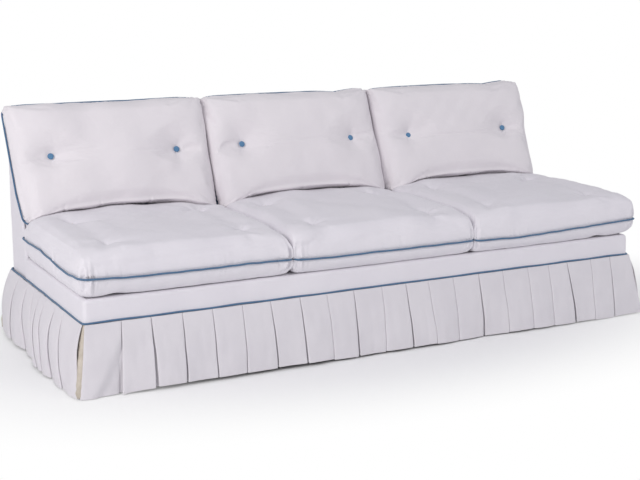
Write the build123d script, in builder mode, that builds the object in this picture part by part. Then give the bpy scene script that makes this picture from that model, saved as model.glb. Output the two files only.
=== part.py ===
from build123d import *
import math
import os

# An armless three-seat sofa: a hardwood frame under tight upholstery, a box-pleated skirt,
# three loose seat cushions with blind tufts and three loose back cushions with covered buttons.
# Millimetres. +X runs along the sofa, -Y is the front, Z = 0 is the floor.

# ================================================================ driving dimensions
body_width = 2270.0  # outside the upholstered ends
body_depth = 903.0  # from the front border to the outside back
leg_height = 130.0  # floor to the underside of the rails
deck_height = 322.0  # floor to the deck under the seat cushions
back_height = 830.0  # floor to the top of the upholstered back
back_foot_y = 253.5  # where the inside back meets the deck
rake_run = 133.0  # how far the inside back leans over its visible height
skirt_top = 239.5
skirt_clearance = 5.0  # floor to the hem
skirt_flare = 53.0  # hem outside the border, against the pleats' 7.6 at the top
pleat_width = 108.9
seat_pitch = 762.0
cushion_half_width = 371.3  # the middle seat's; the outer ones overhang the upholstered ends
outer_middle, outer_half_width = 769.5, 378.8
welt_radius = 3.5
cord_sides = 5

padding = 13.0  # wadding and cover over the frame's outside
back_padding = 29.0  # foam and cover on the inside back, measured level
top_padding = 18.0
strap_thickness = 2.6
rail_thickness = 28.0
rail_height = 160.0
touch_gap = 0.4  # left free between soft pieces that only touch

# ---------------------------------------------------------------- worked out from those
half_width = body_width / 2
half_depth = body_depth / 2
frame_half_width = half_width - padding
frame_half_depth = half_depth - padding
rail_top = leg_height + rail_height
rake = math.atan2(rake_run, back_height - deck_height)
forward = Vector(0, -math.cos(rake), math.sin(rake))  # square to the inside back
down = Vector(0, 0, -1)


def inside_back_y(height):
    """Y of the upholstered inside back at a height above the floor."""
    return back_foot_y + (height - deck_height) * math.tan(rake)


def frame_front_y(height):
    """Y of the wooden back frame behind the foam and the webbing."""
    return inside_back_y(height) + back_padding + strap_thickness + touch_gap


def save(piece, name):
    piece.label = name
    export_step(piece, f"parts/{name}.step")


os.makedirs("parts", exist_ok=True)

# ================================================================ hardwood frame
with BuildPart() as front_rail:
    with BuildSketch(Plane.XY.offset(leg_height)):
        with Locations((0, -frame_half_depth)):
            Rectangle(2 * frame_half_width, rail_thickness, align=(Align.CENTER, Align.MIN))
    extrude(amount=rail_height)
    chamfer(front_rail.edges().filter_by(Axis.X).group_by(Axis.Z)[-1], 2)
save(front_rail.part, "front_rail")

with BuildPart() as back_rail:
    with BuildSketch(Plane.XY.offset(leg_height)):
        with Locations((0, frame_half_depth)):
            Rectangle(2 * frame_half_width, rail_thickness, align=(Align.CENTER, Align.MAX))
    extrude(amount=rail_height)
save(back_rail.part, "back_rail")

post_foot_y = 340.0
inner_front_y = -frame_half_depth + rail_thickness
inner_rear_y = frame_half_depth - rail_thickness
with BuildPart() as side_rails:
    with BuildSketch(Plane.XY.offset(leg_height)):
        for x in (-frame_half_width, frame_half_width - rail_thickness):
            with Locations((x, inner_front_y)):
                Rectangle(rail_thickness, post_foot_y - inner_front_y, align=(Align.MIN, Align.MIN))
    extrude(amount=rail_height)
    chamfer(side_rails.edges().filter_by(Axis.Y).group_by(Axis.Z)[-1], 2)
save(side_rails.part, "side_rails")

# Three stretchers tie the front rail to the feet of the back posts and to the back rail.
stretcher_height = 90.0
leg_bolt_hole = 4.0
leg_screw_depth = 60.0
centre_leg_rear_y = frame_half_depth - 92.0
corner_leg_x = frame_half_width - 71.0
leg_front_y = -frame_half_depth + 66.0
corner_leg_rear_y = frame_half_depth - 66.0
stretcher_ends = ((-seat_pitch / 2, post_foot_y), (0, inner_rear_y), (seat_pitch / 2, post_foot_y))
with BuildPart() as seat_stretchers:
    with BuildSketch(Plane.XY.offset(leg_height)):
        for x, rear_y in stretcher_ends:
            with Locations((x, inner_front_y)):
                Rectangle(rail_thickness, rear_y - inner_front_y, align=(Align.CENTER, Align.MIN))
    extrude(amount=stretcher_height)
    with BuildSketch(Plane.XY.offset(leg_height)):
        with Locations((0, leg_front_y), (0, centre_leg_rear_y)):
            Circle(leg_bolt_hole)
    extrude(amount=leg_screw_depth, mode=Mode.SUBTRACT)
save(seat_stretchers.part, "seat_stretchers")

post_knee_height = 340.0
post_top = back_height - top_padding
top_rail_height = 70.0


def back_post(centre_x, top):
    """A post sawn from plank, notched over the back rail, its front edge raked with the inside back."""
    with BuildSketch(Plane.YZ.offset(centre_x - rail_thickness / 2)) as profile:
        with BuildLine():
            Polyline(
                (post_foot_y, leg_height),
                (inner_rear_y, leg_height),
                (inner_rear_y, rail_top),
                (frame_half_depth, rail_top),
                (frame_half_depth, top),
                (frame_front_y(top), top),
                (frame_front_y(post_knee_height), post_knee_height),
                (post_foot_y, rail_top),
                close=True,
            )
        make_face()
    return profile.sketch


outer_post_x = frame_half_width - rail_thickness / 2
inner_post_x = seat_pitch / 2
with BuildPart() as outer_back_posts:
    for x in (-outer_post_x, outer_post_x):
        extrude(back_post(x, post_top), amount=rail_thickness)
save(outer_back_posts.part, "outer_back_posts")

with BuildPart() as inner_back_posts:
    for x in (-inner_post_x, inner_post_x):
        extrude(back_post(x, post_top - top_rail_height), amount=rail_thickness)
save(inner_back_posts.part, "inner_back_posts")


def raked_profile(start_x, low, high, depth_low, depth_high):
    """A rail's end whose front follows the rake, with its depth given at the lower and upper edge."""
    with BuildSketch(Plane.YZ.offset(start_x)) as profile:
        with BuildLine():
            Polyline(
                (frame_front_y(low), low),
                (frame_front_y(low) + depth_low, low),
                (frame_front_y(high) + depth_high, high),
                (frame_front_y(high), high),
                close=True,
            )
        make_face()
    return profile.sketch


top_rail_low = post_top - top_rail_height
top_rail_reach = outer_post_x - rail_thickness / 2
with BuildPart() as top_rail:
    depth_low = frame_half_depth - frame_front_y(top_rail_low)
    depth_high = frame_half_depth - frame_front_y(post_top)
    extrude(
        raked_profile(-top_rail_reach, top_rail_low, post_top, depth_low, depth_high),
        amount=2 * top_rail_reach,
    )
save(top_rail.part, "top_rail")

# The back webbing is tacked to a rail across each bay just above the deck.
lower_rail_low, lower_rail_high, lower_rail_depth = 345.0, 410.0, 26.0
post_lines = [-outer_post_x, -inner_post_x, inner_post_x, outer_post_x]
with BuildPart() as lower_back_rails:
    for start, end in zip(post_lines, post_lines[1:]):
        profile = raked_profile(
            start + rail_thickness / 2, lower_rail_low, lower_rail_high, lower_rail_depth, lower_rail_depth
        )
        extrude(profile, amount=end - start - rail_thickness)
save(lower_back_rails.part, "lower_back_rails")

block_side, block_thickness = 96.0, 28.0
block_x = frame_half_width - rail_thickness
corner_leg_places = [(s * corner_leg_x, y) for s in (-1, 1) for y in (leg_front_y, corner_leg_rear_y)]
centre_leg_places = [(0, leg_front_y), (0, centre_leg_rear_y)]
with BuildPart() as corner_blocks:
    with BuildSketch(Plane.XY.offset(leg_height)):
        for side in (-1, 1):
            for corner_y, inward in ((inner_front_y, 1), (inner_rear_y, -1)):
                with BuildLine():
                    Polyline(
                        (side * block_x, corner_y),
                        (side * (block_x - block_side), corner_y),
                        (side * block_x, corner_y + inward * block_side),
                        close=True,
                    )
                make_face()
    extrude(amount=block_thickness)
    with BuildSketch(Plane.XY.offset(leg_height)):
        with Locations(*corner_leg_places):
            Circle(leg_bolt_hole)
    extrude(amount=block_thickness, mode=Mode.SUBTRACT)
save(corner_blocks.part, "corner_blocks")

# ---------------------------------------------------------------- legs and their bolts
leg_top_width, leg_foot_width = 62.0, 46.0
leg_hole_depth = 45.0
leg_places = {
    "front_left_leg": (-corner_leg_x, leg_front_y),
    "front_centre_leg": (0, leg_front_y),
    "front_right_leg": (corner_leg_x, leg_front_y),
    "rear_left_leg": (-corner_leg_x, corner_leg_rear_y),
    "rear_centre_leg": (0, centre_leg_rear_y),
    "rear_right_leg": (corner_leg_x, corner_leg_rear_y),
}


def leg_side(plane):
    """A leg seen square on: it tapers from the rail to the foot, whose edges are broken."""
    foot, top, broken = leg_foot_width / 2, leg_top_width / 2, 3
    half = [(foot - broken, 0), (foot, broken), (top, leg_height)]
    with BuildSketch(plane) as side:
        with BuildLine():
            Polyline(*half, *[(-across, up) for across, up in half[::-1]], close=True)
        make_face()
    return side.sketch


for name, (x, y) in leg_places.items():
    with BuildPart() as leg:
        extrude(leg_side(Plane.XZ), amount=leg_top_width / 2, both=True)
        extrude(leg_side(Plane.YZ), amount=leg_top_width / 2, both=True, mode=Mode.INTERSECT)
        with Locations((0, 0, leg_height)):
            Hole(leg_bolt_hole, depth=leg_hole_depth)
    save(leg.part.moved(Location((x, y, 0))), name)

leg_bolt_radius = 3.9
with BuildPart() as leg_bolts:
    with BuildSketch(Plane.XY.offset(leg_height - leg_hole_depth)):
        with Locations(*corner_leg_places):
            Circle(leg_bolt_radius)
    extrude(amount=leg_hole_depth + block_thickness)
    with BuildSketch(Plane.XY.offset(leg_height - leg_hole_depth)):
        with Locations(*centre_leg_places):
            Circle(leg_bolt_radius)
    extrude(amount=leg_hole_depth + leg_screw_depth)
save(leg_bolts.part, "leg_bolts")

# ================================================================ webbing
strap_width = 50.0
straps_per_seat = 4
bay_width = seat_pitch - rail_thickness - strap_width
strap_xs = [
    (seat - 1) * seat_pitch + (n - (straps_per_seat - 1) / 2) * bay_width / straps_per_seat
    for seat in range(3)
    for n in range(straps_per_seat)
]
with BuildPart() as seat_straps:
    with BuildSketch(Plane.XY.offset(rail_top)):
        with Locations(*[(x, 0) for x in strap_xs]):
            Rectangle(strap_width, 2 * frame_half_depth - 10)
    extrude(amount=strap_thickness)
save(seat_straps.part, "seat_straps")

cross_strap_ys = [-340.0, -190.0, -40.0, 110.0, 255.0]
with BuildPart() as cross_straps:
    with BuildSketch(Plane.XY.offset(rail_top + strap_thickness)):
        with Locations(*[(0, y) for y in cross_strap_ys]):
            Rectangle(2 * frame_half_width - 10, strap_width)
    extrude(amount=strap_thickness)
save(cross_straps.part, "cross_straps")

strap_low, strap_high = lower_rail_low + 5, post_top - 5
strap_middle = (strap_low + strap_high) / 2
with BuildPart() as back_straps:
    strap_plane = Plane(
        origin=(0, frame_front_y(strap_middle), strap_middle), x_dir=(1, 0, 0), z_dir=forward
    )
    with BuildSketch(strap_plane):
        with Locations(*[(x, 0) for x in strap_xs]):
            Rectangle(strap_width, (strap_high - strap_low) / math.cos(rake))
    extrude(amount=strap_thickness)
save(back_straps.part, "back_straps")

# ================================================================ tight upholstery
edge_round = 9.0
deck_underside = rail_top + 2 * strap_thickness
with BuildPart() as deck_pad:
    with BuildSketch(Plane.XY.offset(deck_underside)):
        with Locations((0, -frame_half_depth)):
            Rectangle(
                2 * frame_half_width,
                frame_half_depth + back_foot_y + back_padding,
                align=(Align.CENTER, Align.MIN),
            )
    extrude(amount=deck_height - deck_underside)
save(deck_pad.part, "deck_pad")

with BuildPart() as front_border:
    with BuildSketch(Plane.XY.offset(leg_height)):
        with Locations((0, -half_depth)):
            Rectangle(body_width, padding, align=(Align.CENTER, Align.MIN))
    extrude(amount=deck_height - leg_height)
    outer_face = front_border.faces().sort_by(Axis.Y)[0]
    fillet(outer_face.edges().filter_by(Axis.Z) + outer_face.edges().group_by(Axis.Z)[-1], edge_round)
save(front_border.part, "front_border")

with BuildPart() as right_border:
    with BuildSketch(Plane.XY.offset(leg_height)):
        with Locations((frame_half_width, -frame_half_depth)):
            Rectangle(padding, frame_half_depth + back_foot_y, align=(Align.MIN, Align.MIN))
    extrude(amount=deck_height - leg_height)
    outer_face = right_border.faces().sort_by(Axis.X)[-1]
    fillet(outer_face.edges().group_by(Axis.Z)[-1], edge_round)
save(right_border.part, "right_border")
save(mirror(right_border.part, about=Plane.YZ), "left_border")

with BuildPart() as right_back_end:
    with BuildSketch(Plane.YZ.offset(frame_half_width)):
        with BuildLine():
            Polyline(
                (back_foot_y, leg_height),
                (half_depth, leg_height),
                (half_depth, back_height),
                (inside_back_y(back_height), back_height),
                (back_foot_y, deck_height),
                close=True,
            )
        make_face()
    extrude(amount=padding)
    corners = right_back_end.edges().filter_by(Axis.X).group_by(Axis.Z)[-1]
    fillet(corners, edge_round)
    outer_face = right_back_end.faces().sort_by(Axis.X)[-1]
    showing = outer_face.edges().filter_by(lambda edge: edge.center().Z > leg_height + 1)
    fillet(showing.filter_by(lambda edge: edge.center().Y > back_foot_y + 1), edge_round - 1)
save(right_back_end.part, "right_back_end")
save(mirror(right_back_end.part, about=Plane.YZ), "left_back_end")

with BuildPart() as inside_back_pad:
    with BuildSketch(Plane.YZ.offset(-frame_half_width)):
        with BuildLine():
            Polyline(
                (back_foot_y, deck_height),
                (back_foot_y + back_padding, deck_height),
                (inside_back_y(post_top) + back_padding, post_top),
                (inside_back_y(post_top), post_top),
                close=True,
            )
        make_face()
    extrude(amount=2 * frame_half_width)
save(inside_back_pad.part, "inside_back_pad")

with BuildPart() as back_top_pad:
    with BuildSketch(Plane.YZ.offset(-frame_half_width)):
        with BuildLine():
            Polyline(
                (inside_back_y(post_top), post_top),
                (half_depth, post_top),
                (half_depth, back_height),
                (inside_back_y(back_height), back_height),
                close=True,
            )
        make_face()
    extrude(amount=2 * frame_half_width)
    fillet(back_top_pad.edges().filter_by(Axis.X).group_by(Axis.Z)[-1], edge_round)
save(back_top_pad.part, "back_top_pad")

with BuildPart() as outside_back:
    with BuildSketch(Plane.XY.offset(leg_height)):
        with Locations((0, half_depth)):
            Rectangle(2 * frame_half_width, padding, align=(Align.CENTER, Align.MAX))
    extrude(amount=post_top - leg_height)
save(outside_back.part, "outside_back")

dust_cover_thickness = 1.5
with BuildPart() as dust_cover:
    with BuildSketch(Plane.XY.offset(leg_height - dust_cover_thickness)):
        Rectangle(2 * frame_half_width, 2 * frame_half_depth)
        with Locations(*corner_leg_places, *centre_leg_places):
            Rectangle(leg_top_width + 1, leg_top_width + 1, mode=Mode.SUBTRACT)
    extrude(amount=dust_cover_thickness)
save(dust_cover.part, "dust_cover")

# ================================================================ box-pleated skirt
# Every pleat is a flat face whose two edges fold back behind it and turn again into the
# layer that backs the slit between it and the next, so the cloth runs unbroken in three layers.
cloth = 2.2
fold_depth = 30.0
slit_top, slit_hem = 1.0, 4.0  # clear between two folded edges
layers_top = [7.6, 4.6, 1.6]  # face, fold and backing outside the border at the skirt's top
layers_hem = [skirt_flare, skirt_flare - 6, skirt_flare - 12]
front_end_spread, side_end_spread = 20.0, 36.0  # how far the hem's ends run past the border's corner
front_pleats = round(body_width / pleat_width)
side_pleats = round(body_depth / pleat_width)


def ribbon(path, thickness):
    """The outline of a strip of even thickness that follows a path of straight lines."""
    half = thickness / 2
    points = [Vector(*point) for point in path]
    runs = [(b - a).normalized() for a, b in zip(points, points[1:])]
    normals = [Vector(-run.Y, run.X) for run in runs]
    near, far = [], []
    for before, after, point in zip(normals[:1] + normals, normals + normals[-1:], points):
        mitre = (before + after) * (half / (1 + before.dot(after)))
        near.append(point + mitre)
        far.append(point - mitre)
    return near + far[::-1]


def pleat_path(pleats, half_length, slit, layers):
    """The cloth's path in plan along one side: along the border, and out from it."""
    face, fold, backing = layers
    pitch = 2 * half_length / pleats
    path = []
    for index in range(pleats):
        start = -half_length + index * pitch + (slit + cloth) / 2
        end = start + pitch - slit - cloth
        if index:
            path.append((start + fold_depth, backing))
        path += [(start + fold_depth, fold), (start, fold), (start, face)]
        path += [(end, face), (end, fold), (end - fold_depth, fold)]
        if index < pleats - 1:
            path.append((end - fold_depth, backing))
    return path


def side_plane(outward, distance, height):
    """A level plane on one side of the sofa, its X along the border and its Y straight out."""
    return Plane(origin=outward * distance + Vector(0, 0, height), x_dir=outward.cross(down), z_dir=down)


def cloth_section(plane, path):
    with BuildSketch(plane) as section:
        with BuildLine():
            Polyline(*ribbon(path, cloth), close=True)
        make_face()
    return section.sketch


skirt_sides = {
    "front_skirt": (Vector(0, -1, 0), half_depth, half_width, front_pleats, front_end_spread),
    "rear_skirt": (Vector(0, 1, 0), half_depth, half_width, front_pleats, front_end_spread),
    "left_skirt": (Vector(-1, 0, 0), half_width, half_depth, side_pleats, side_end_spread),
    "right_skirt": (Vector(1, 0, 0), half_width, half_depth, side_pleats, side_end_spread),
}
for name, (outward, distance, half_length, pleats, spread) in skirt_sides.items():
    top_path = pleat_path(pleats, half_length, slit_top, layers_top)
    hem_path = pleat_path(pleats, half_length + spread, slit_hem, layers_hem)
    with BuildPart() as skirt:
        top_section = cloth_section(side_plane(outward, distance, skirt_top), top_path)
        hem_section = cloth_section(side_plane(outward, distance, skirt_clearance), hem_path)
        loft([top_section, hem_section], ruled=True)
    save(skirt.part, name)

# Behind the open pleat at each corner a folded lining closes the gap.
lining_reach = 50.0


def lining_section(x_side, y_side, height, out):
    corner = (x_side * (half_width + out), y_side * (half_depth + out))
    path = [
        (x_side * (half_width - lining_reach), corner[1]),
        corner,
        (corner[0], y_side * (half_depth - lining_reach)),
    ]
    return cloth_section(Plane.XY.offset(height), path)


with BuildPart() as corner_linings:
    for x_side in (-1, 1):
        for y_side in (-1, 1):
            top_section = lining_section(x_side, y_side, skirt_top, layers_top[2])
            hem_section = lining_section(x_side, y_side, skirt_clearance, layers_hem[2])
            loft([top_section, hem_section], ruled=True)
save(corner_linings.part, "corner_linings")

skirt_welt_height = skirt_top + welt_radius
welt_stand_off = welt_radius + 0.2
with BuildPart() as skirt_welt:
    with BuildSketch(Plane.XY.offset(skirt_welt_height), mode=Mode.PRIVATE) as welt_outline:
        RectangleRounded(body_width + 2 * welt_stand_off, body_depth + 2 * welt_stand_off, edge_round + 2)
    welt_path = welt_outline.sketch.face().outer_wire()
    with BuildSketch(Plane(origin=welt_path @ 0, z_dir=welt_path % 0)):
        RegularPolygon(welt_radius, cord_sides)
    sweep(path=welt_path)
save(skirt_welt.part, "skirt_welt")

# ================================================================ cushions
# A section's angle runs from 0 at the seam to 90 degrees on the flat of the crown.
side_bow = 2.0
crown_angles = range(0, 91, 18)
underside_angles = range(90, -1, -30)


def outline(plane, reach, low, high, corner, low_bow, high_bow):
    """A cushion's outline: four sides bowed outward by the amounts given, and rounded corners."""
    middle = (low + high) / 2
    with BuildSketch(plane) as section:
        with BuildLine():
            ThreePointArc((-reach, low), (0, low - low_bow), (reach, low))
            ThreePointArc((reach, low), (reach + side_bow, middle), (reach, high))
            ThreePointArc((reach, high), (0, high + high_bow), (-reach, high))
            ThreePointArc((-reach, high), (-reach - side_bow, middle), (-reach, low))
        make_face()
        fillet(section.vertices(), corner)
    return section.sketch


def welt_ring(plane, reach, low, high, corner, low_bow, high_bow):
    """The corded seam that runs round a cushion just outside its widest outline."""
    out = welt_radius + 0.3
    seam = outline(plane, reach + out, low - out, high + out, corner + out, low_bow, high_bow)
    path = seam.face().outer_wire()
    with BuildPart() as ring:
        with BuildSketch(Plane(origin=path @ 0, z_dir=path % 0)):
            RegularPolygon(welt_radius, cord_sides)
        sweep(path=path)
    return ring.part


# ---------------------------------------------------------------- seat cushions
seat_front_y = -471.0
seat_rear_y = 258.5
seat_welt_height = 389.0
seat_crown_height = 105.0  # seam to crown
seat_underside_depth = seat_welt_height - deck_height - 1.2
seat_corner, seat_corner_growth = 46.0, 70.0
seat_bow = 3.0
crown_in = {"ends": 160.0, "front": 240.0, "rear": 150.0}  # how far in the flat of the crown starts
crown_fullness = {"ends": 1.9, "front": 1.9, "rear": 1.1}  # a larger power keeps a side upright for longer
underside_in = {"ends": 34.0, "front": 30.0, "rear": 38.0}
underside_fullness = {"ends": 1.43, "front": 1.43, "rear": 1.43}
twine_radius, twine_hole = 1.0, 1.5
tuft_x, front_tuft_y, rear_tuft_y = 243.0, -341.5, 53.5
tuft_floors = {front_tuft_y: 462.0, rear_tuft_y: 477.0}
tuft_bottom_radius, tuft_mouth_radius, tuft_mouth_height = 3.0, 46.0, 24.0


def seat_section(reach, angle, rise, drawn_in, fullness):
    swell = math.sin(math.radians(angle)) ** 0.75
    turned = 1 - math.cos(math.radians(angle))
    inset = {side: drawn_in[side] * turned ** fullness[side] for side in drawn_in}
    return outline(
        Plane.XY.offset(seat_welt_height + rise * swell),
        reach - inset["ends"],
        seat_front_y + inset["front"],
        seat_rear_y - inset["rear"],
        seat_corner + (seat_corner_growth * angle / 90 if rise > 0 else 0),
        seat_bow,
        seat_bow,
    )


def seat_cushion(reach):
    with BuildPart() as cushion:
        below = [
            seat_section(reach, angle, -seat_underside_depth, underside_in, underside_fullness)
            for angle in underside_angles
        ]
        above = [
            seat_section(reach, angle, seat_crown_height, crown_in, crown_fullness)
            for angle in crown_angles
        ]
        loft(below, ruled=True)
        loft(above, ruled=True)
        for y, floor in tuft_floors.items():
            with Locations((-tuft_x, y, floor), (tuft_x, y, floor)):
                Cone(
                    tuft_bottom_radius,
                    tuft_mouth_radius,
                    tuft_mouth_height,
                    align=(Align.CENTER, Align.CENTER, Align.MIN),
                    mode=Mode.SUBTRACT,
                )
            with BuildSketch(Plane.XY.offset(floor)):
                with Locations((-tuft_x, y), (tuft_x, y)):
                    RegularPolygon(twine_hole, cord_sides)
            extrude(amount=deck_height - floor, mode=Mode.SUBTRACT)
    return cushion.part


def seat_welt(reach):
    plane = Plane.XY.offset(seat_welt_height)
    return welt_ring(plane, reach, seat_front_y, seat_rear_y, seat_corner, seat_bow, seat_bow)


with BuildPart() as seat_twine:
    for y, floor in tuft_floors.items():
        with BuildSketch(Plane.XY.offset(deck_height + 2)):
            with Locations((-tuft_x, y), (tuft_x, y)):
                RegularPolygon(twine_radius, cord_sides)
        extrude(amount=floor - deck_height)

cushion_places = {
    "left": (-outer_middle, outer_half_width),
    "middle": (0.0, cushion_half_width),
    "right": (outer_middle, outer_half_width),
}
for name, (x, reach) in cushion_places.items():
    place = Location((x, 0, 0))
    save(seat_cushion(reach).moved(place), f"{name}_seat_cushion")
    save(seat_welt(reach).moved(place), f"{name}_seat_welt")
    save(seat_twine.part.moved(place), f"{name}_seat_tuft_twine")

# ---------------------------------------------------------------- back cushions
# They lean further than the inside back: the head rests on its top, the foot stands off it.
back_lean = math.radians(23.4)
back_foot = Vector(0, 217.8, 473.0)
back_length = 431.6
foot_drop = 7.0  # how far the lower corners hang below that foot
back_corner, back_corner_growth = 30.0, 40.0
back_fullness = 1.6
foot_hollow = 39.0  # the lower edge rides over the crown of the seat cushion
foot_welt_out = 1.5  # the front sags over the lower edge, so the welt there stands further out
hollow_fade = 200.0  # distance from the seam at which the hollow would be gone
head_bow = 4.0
front_swell, rear_swell = 84.0, 70.0  # seam to the flat of each face
front_in = {"ends": 165.0, "foot": 122.0, "head": 150.0, "sag": 28.0}
rear_in = {"ends": 150.0, "foot": 122.0, "head": 125.0, "sag": 0.0}
back_normal = Vector(0, -math.cos(back_lean), math.sin(back_lean))
button_places = [(-247.0, 214.0), (247.0, 214.0)]
button_radius, button_edge, button_dome = 11.8, 3.0, 4.0
button_seat = 42.0
dimple_bottom_radius, dimple_mouth_radius, dimple_depth = 12.2, 48.0, 42.0

# The seat crown under the back cushions is cut out of them level, so the seat slides out freely.
crown_middle, crown_shoulder, crown_edge = (0, 503), (332, 483), (376, 440)


def back_plane(out):
    return Plane(origin=back_foot + back_normal * out, x_dir=(1, 0, 0), z_dir=back_normal)


def back_section(reach, angle, rise, drawn_in):
    out = rise * math.sin(math.radians(angle))
    inset = (1 - math.cos(math.radians(angle))) ** back_fullness
    sag = drawn_in["sag"] * math.sin(math.radians(2 * angle)) ** 2
    return outline(
        back_plane(out),
        reach - drawn_in["ends"] * inset,
        drawn_in["foot"] * inset - sag - foot_drop,
        back_length - drawn_in["head"] * inset,
        back_corner + back_corner_growth * angle / 90,
        -foot_hollow * (1 - abs(out) / hollow_fade),
        head_bow,
    )


def crown_below():
    """What the seat's crown takes away under a back cushion, seen from the front."""
    with BuildSketch(Plane.XZ.offset(-100)) as below:
        with BuildLine():
            Line((-crown_edge[0], crown_edge[1]), (-crown_shoulder[0], crown_shoulder[1]))
            ThreePointArc((-crown_shoulder[0], crown_shoulder[1]), crown_middle, crown_shoulder)
            Line(crown_shoulder, crown_edge)
            Polyline(
                crown_edge,
                (crown_edge[0], 400),
                (-crown_edge[0], 400),
                (-crown_edge[0], crown_edge[1]),
            )
        make_face()
    return below.sketch


def back_cushion(reach):
    with BuildPart() as cushion:
        behind = [back_section(reach, angle, -rear_swell, rear_in) for angle in underside_angles]
        before = [back_section(reach, angle, front_swell, front_in) for angle in crown_angles]
        loft(behind, ruled=True)
        loft(before, ruled=True)
        extrude(crown_below(), amount=-260, mode=Mode.SUBTRACT)
        inside_back_foot = Vector(0, back_foot_y, deck_height)
        split(bisect_by=Plane(origin=inside_back_foot + forward * touch_gap, z_dir=forward))
        with Locations(*[back_plane(button_seat) * Location((x, y, 0)) for x, y in button_places]):
            Cone(
                dimple_bottom_radius,
                dimple_mouth_radius,
                dimple_depth,
                align=(Align.CENTER, Align.CENTER, Align.MIN),
                mode=Mode.SUBTRACT,
            )
        with BuildSketch(back_plane(button_seat)):
            with Locations(*button_places):
                RegularPolygon(twine_hole, cord_sides)
        extrude(amount=-button_seat - rear_swell, mode=Mode.SUBTRACT)
    return cushion.part


def back_welt(reach):
    low = -foot_drop - foot_welt_out
    return welt_ring(back_plane(0), reach, low, back_length, back_corner, -foot_hollow, head_bow)


with BuildPart(mode=Mode.PRIVATE) as button:
    with BuildSketch(Plane.XZ):
        with BuildLine():
            Polyline(
                (0, 0),
                (button_radius, 0),
                (button_radius, button_edge),
                (button_radius * 0.6, button_edge + button_dome * 0.8),
                (0, button_edge + button_dome),
                close=True,
            )
        make_face()
    revolve(axis=Axis.Z)

with BuildPart() as back_buttons:
    with Locations(*[back_plane(button_seat) * Location((x, y, 0)) for x, y in button_places]):
        add(button.part)

for name, (x, reach) in cushion_places.items():
    place = Location((x, 0, 0))
    save(back_cushion(reach).moved(place), f"{name}_back_cushion")
    save(back_welt(reach).moved(place), f"{name}_back_welt")
    save(back_buttons.part.moved(place), f"{name}_back_buttons")
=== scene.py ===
import math

import bpy
import numpy as np
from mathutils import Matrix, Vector
from mathutils.bvhtree import BVHTree


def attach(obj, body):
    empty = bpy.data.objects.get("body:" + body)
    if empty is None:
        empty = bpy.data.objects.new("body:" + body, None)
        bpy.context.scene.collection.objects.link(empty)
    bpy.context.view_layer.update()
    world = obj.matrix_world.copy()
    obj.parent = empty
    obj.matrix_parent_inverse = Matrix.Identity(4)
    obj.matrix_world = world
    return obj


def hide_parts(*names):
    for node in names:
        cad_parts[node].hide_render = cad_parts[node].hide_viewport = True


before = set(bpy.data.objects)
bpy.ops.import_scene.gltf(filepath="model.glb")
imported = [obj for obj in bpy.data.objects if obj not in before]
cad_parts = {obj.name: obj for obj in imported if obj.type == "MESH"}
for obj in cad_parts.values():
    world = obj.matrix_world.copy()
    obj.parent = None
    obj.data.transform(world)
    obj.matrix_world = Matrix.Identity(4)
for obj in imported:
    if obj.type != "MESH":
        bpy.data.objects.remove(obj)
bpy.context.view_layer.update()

cameraView = {"place": (-2.3528, -4.4213, 1.3909), "tilt": 78.0, "turn": -27.7, "lens": 72.84}
cameraData = bpy.data.cameras.new("camera")
cameraData.lens = cameraView["lens"]
cameraData.sensor_width = 36.0
camera = bpy.data.objects.new("camera", cameraData)
camera.location = cameraView["place"]
camera.rotation_euler = (math.radians(cameraView["tilt"]), 0, math.radians(cameraView["turn"]))
bpy.context.collection.objects.link(camera)
bpy.context.scene.camera = camera
print("camera placed")


def deselectAll():
    for item in bpy.context.selected_objects:
        item.select_set(False)


def makeActive(piece):
    deselectAll()
    piece.select_set(True)
    bpy.context.view_layer.objects.active = piece


def settle(piece):
    makeActive(piece)
    bpy.ops.object.transform_apply(location=True, rotation=True, scale=True)


def addModifier(piece, kind, **values):
    makeActive(piece)
    bpy.ops.object.modifier_add(type=kind)
    modifier = piece.modifiers[-1]
    for label, value in values.items():
        setattr(modifier, label, value)
    bpy.ops.object.modifier_apply(modifier=modifier.name)


def readPoints(piece):
    flat = np.empty(len(piece.data.vertices) * 3)
    piece.data.vertices.foreach_get("co", flat)
    return flat.reshape(-1, 3)


def writePoints(piece, points):
    piece.data.vertices.foreach_set("co", np.ascontiguousarray(points).reshape(-1))
    piece.data.update()


def readNormals(piece):
    flat = np.empty(len(piece.data.vertices) * 3)
    piece.data.vertices.foreach_get("normal", flat)
    return flat.reshape(-1, 3)


def editAll(piece, *steps):
    makeActive(piece)
    bpy.ops.object.mode_set(mode="EDIT")
    bpy.ops.mesh.select_all(action="SELECT")
    for step in steps:
        step()
    bpy.ops.object.mode_set(mode="OBJECT")


def turnOutward():
    bpy.ops.mesh.normals_make_consistent(inside=False)


def fillHoles():
    bpy.ops.mesh.fill_holes(sides=0)


def pointOutward(piece):
    editAll(piece, turnOutward)


def deletePoints(piece, chosen):
    editAll(piece, lambda: bpy.ops.mesh.select_all(action="DESELECT"))
    piece.data.vertices.foreach_set("select", chosen)
    makeActive(piece)
    bpy.ops.object.mode_set(mode="EDIT")
    bpy.ops.mesh.delete(type="VERT")
    bpy.ops.object.mode_set(mode="OBJECT")


def copyNode(node, name):
    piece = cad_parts[node].copy()
    piece.data = piece.data.copy()
    piece.name = name
    piece.parent = None
    piece.data.materials.clear()
    bpy.context.collection.objects.link(piece)
    editAll(piece, lambda: bpy.ops.mesh.remove_doubles(threshold=0.00005))
    return piece


def gridSheet(name, rows):
    # a flat grid whose points are then laid row by row
    deselectAll()
    rows = np.asarray(rows)
    down, across = rows.shape[:2]
    bpy.ops.mesh.primitive_grid_add(x_subdivisions=across - 1, y_subdivisions=down - 1, size=1)
    piece = bpy.context.object
    piece.name = name
    writePoints(piece, rows.reshape(-1, 3))
    return piece


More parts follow.
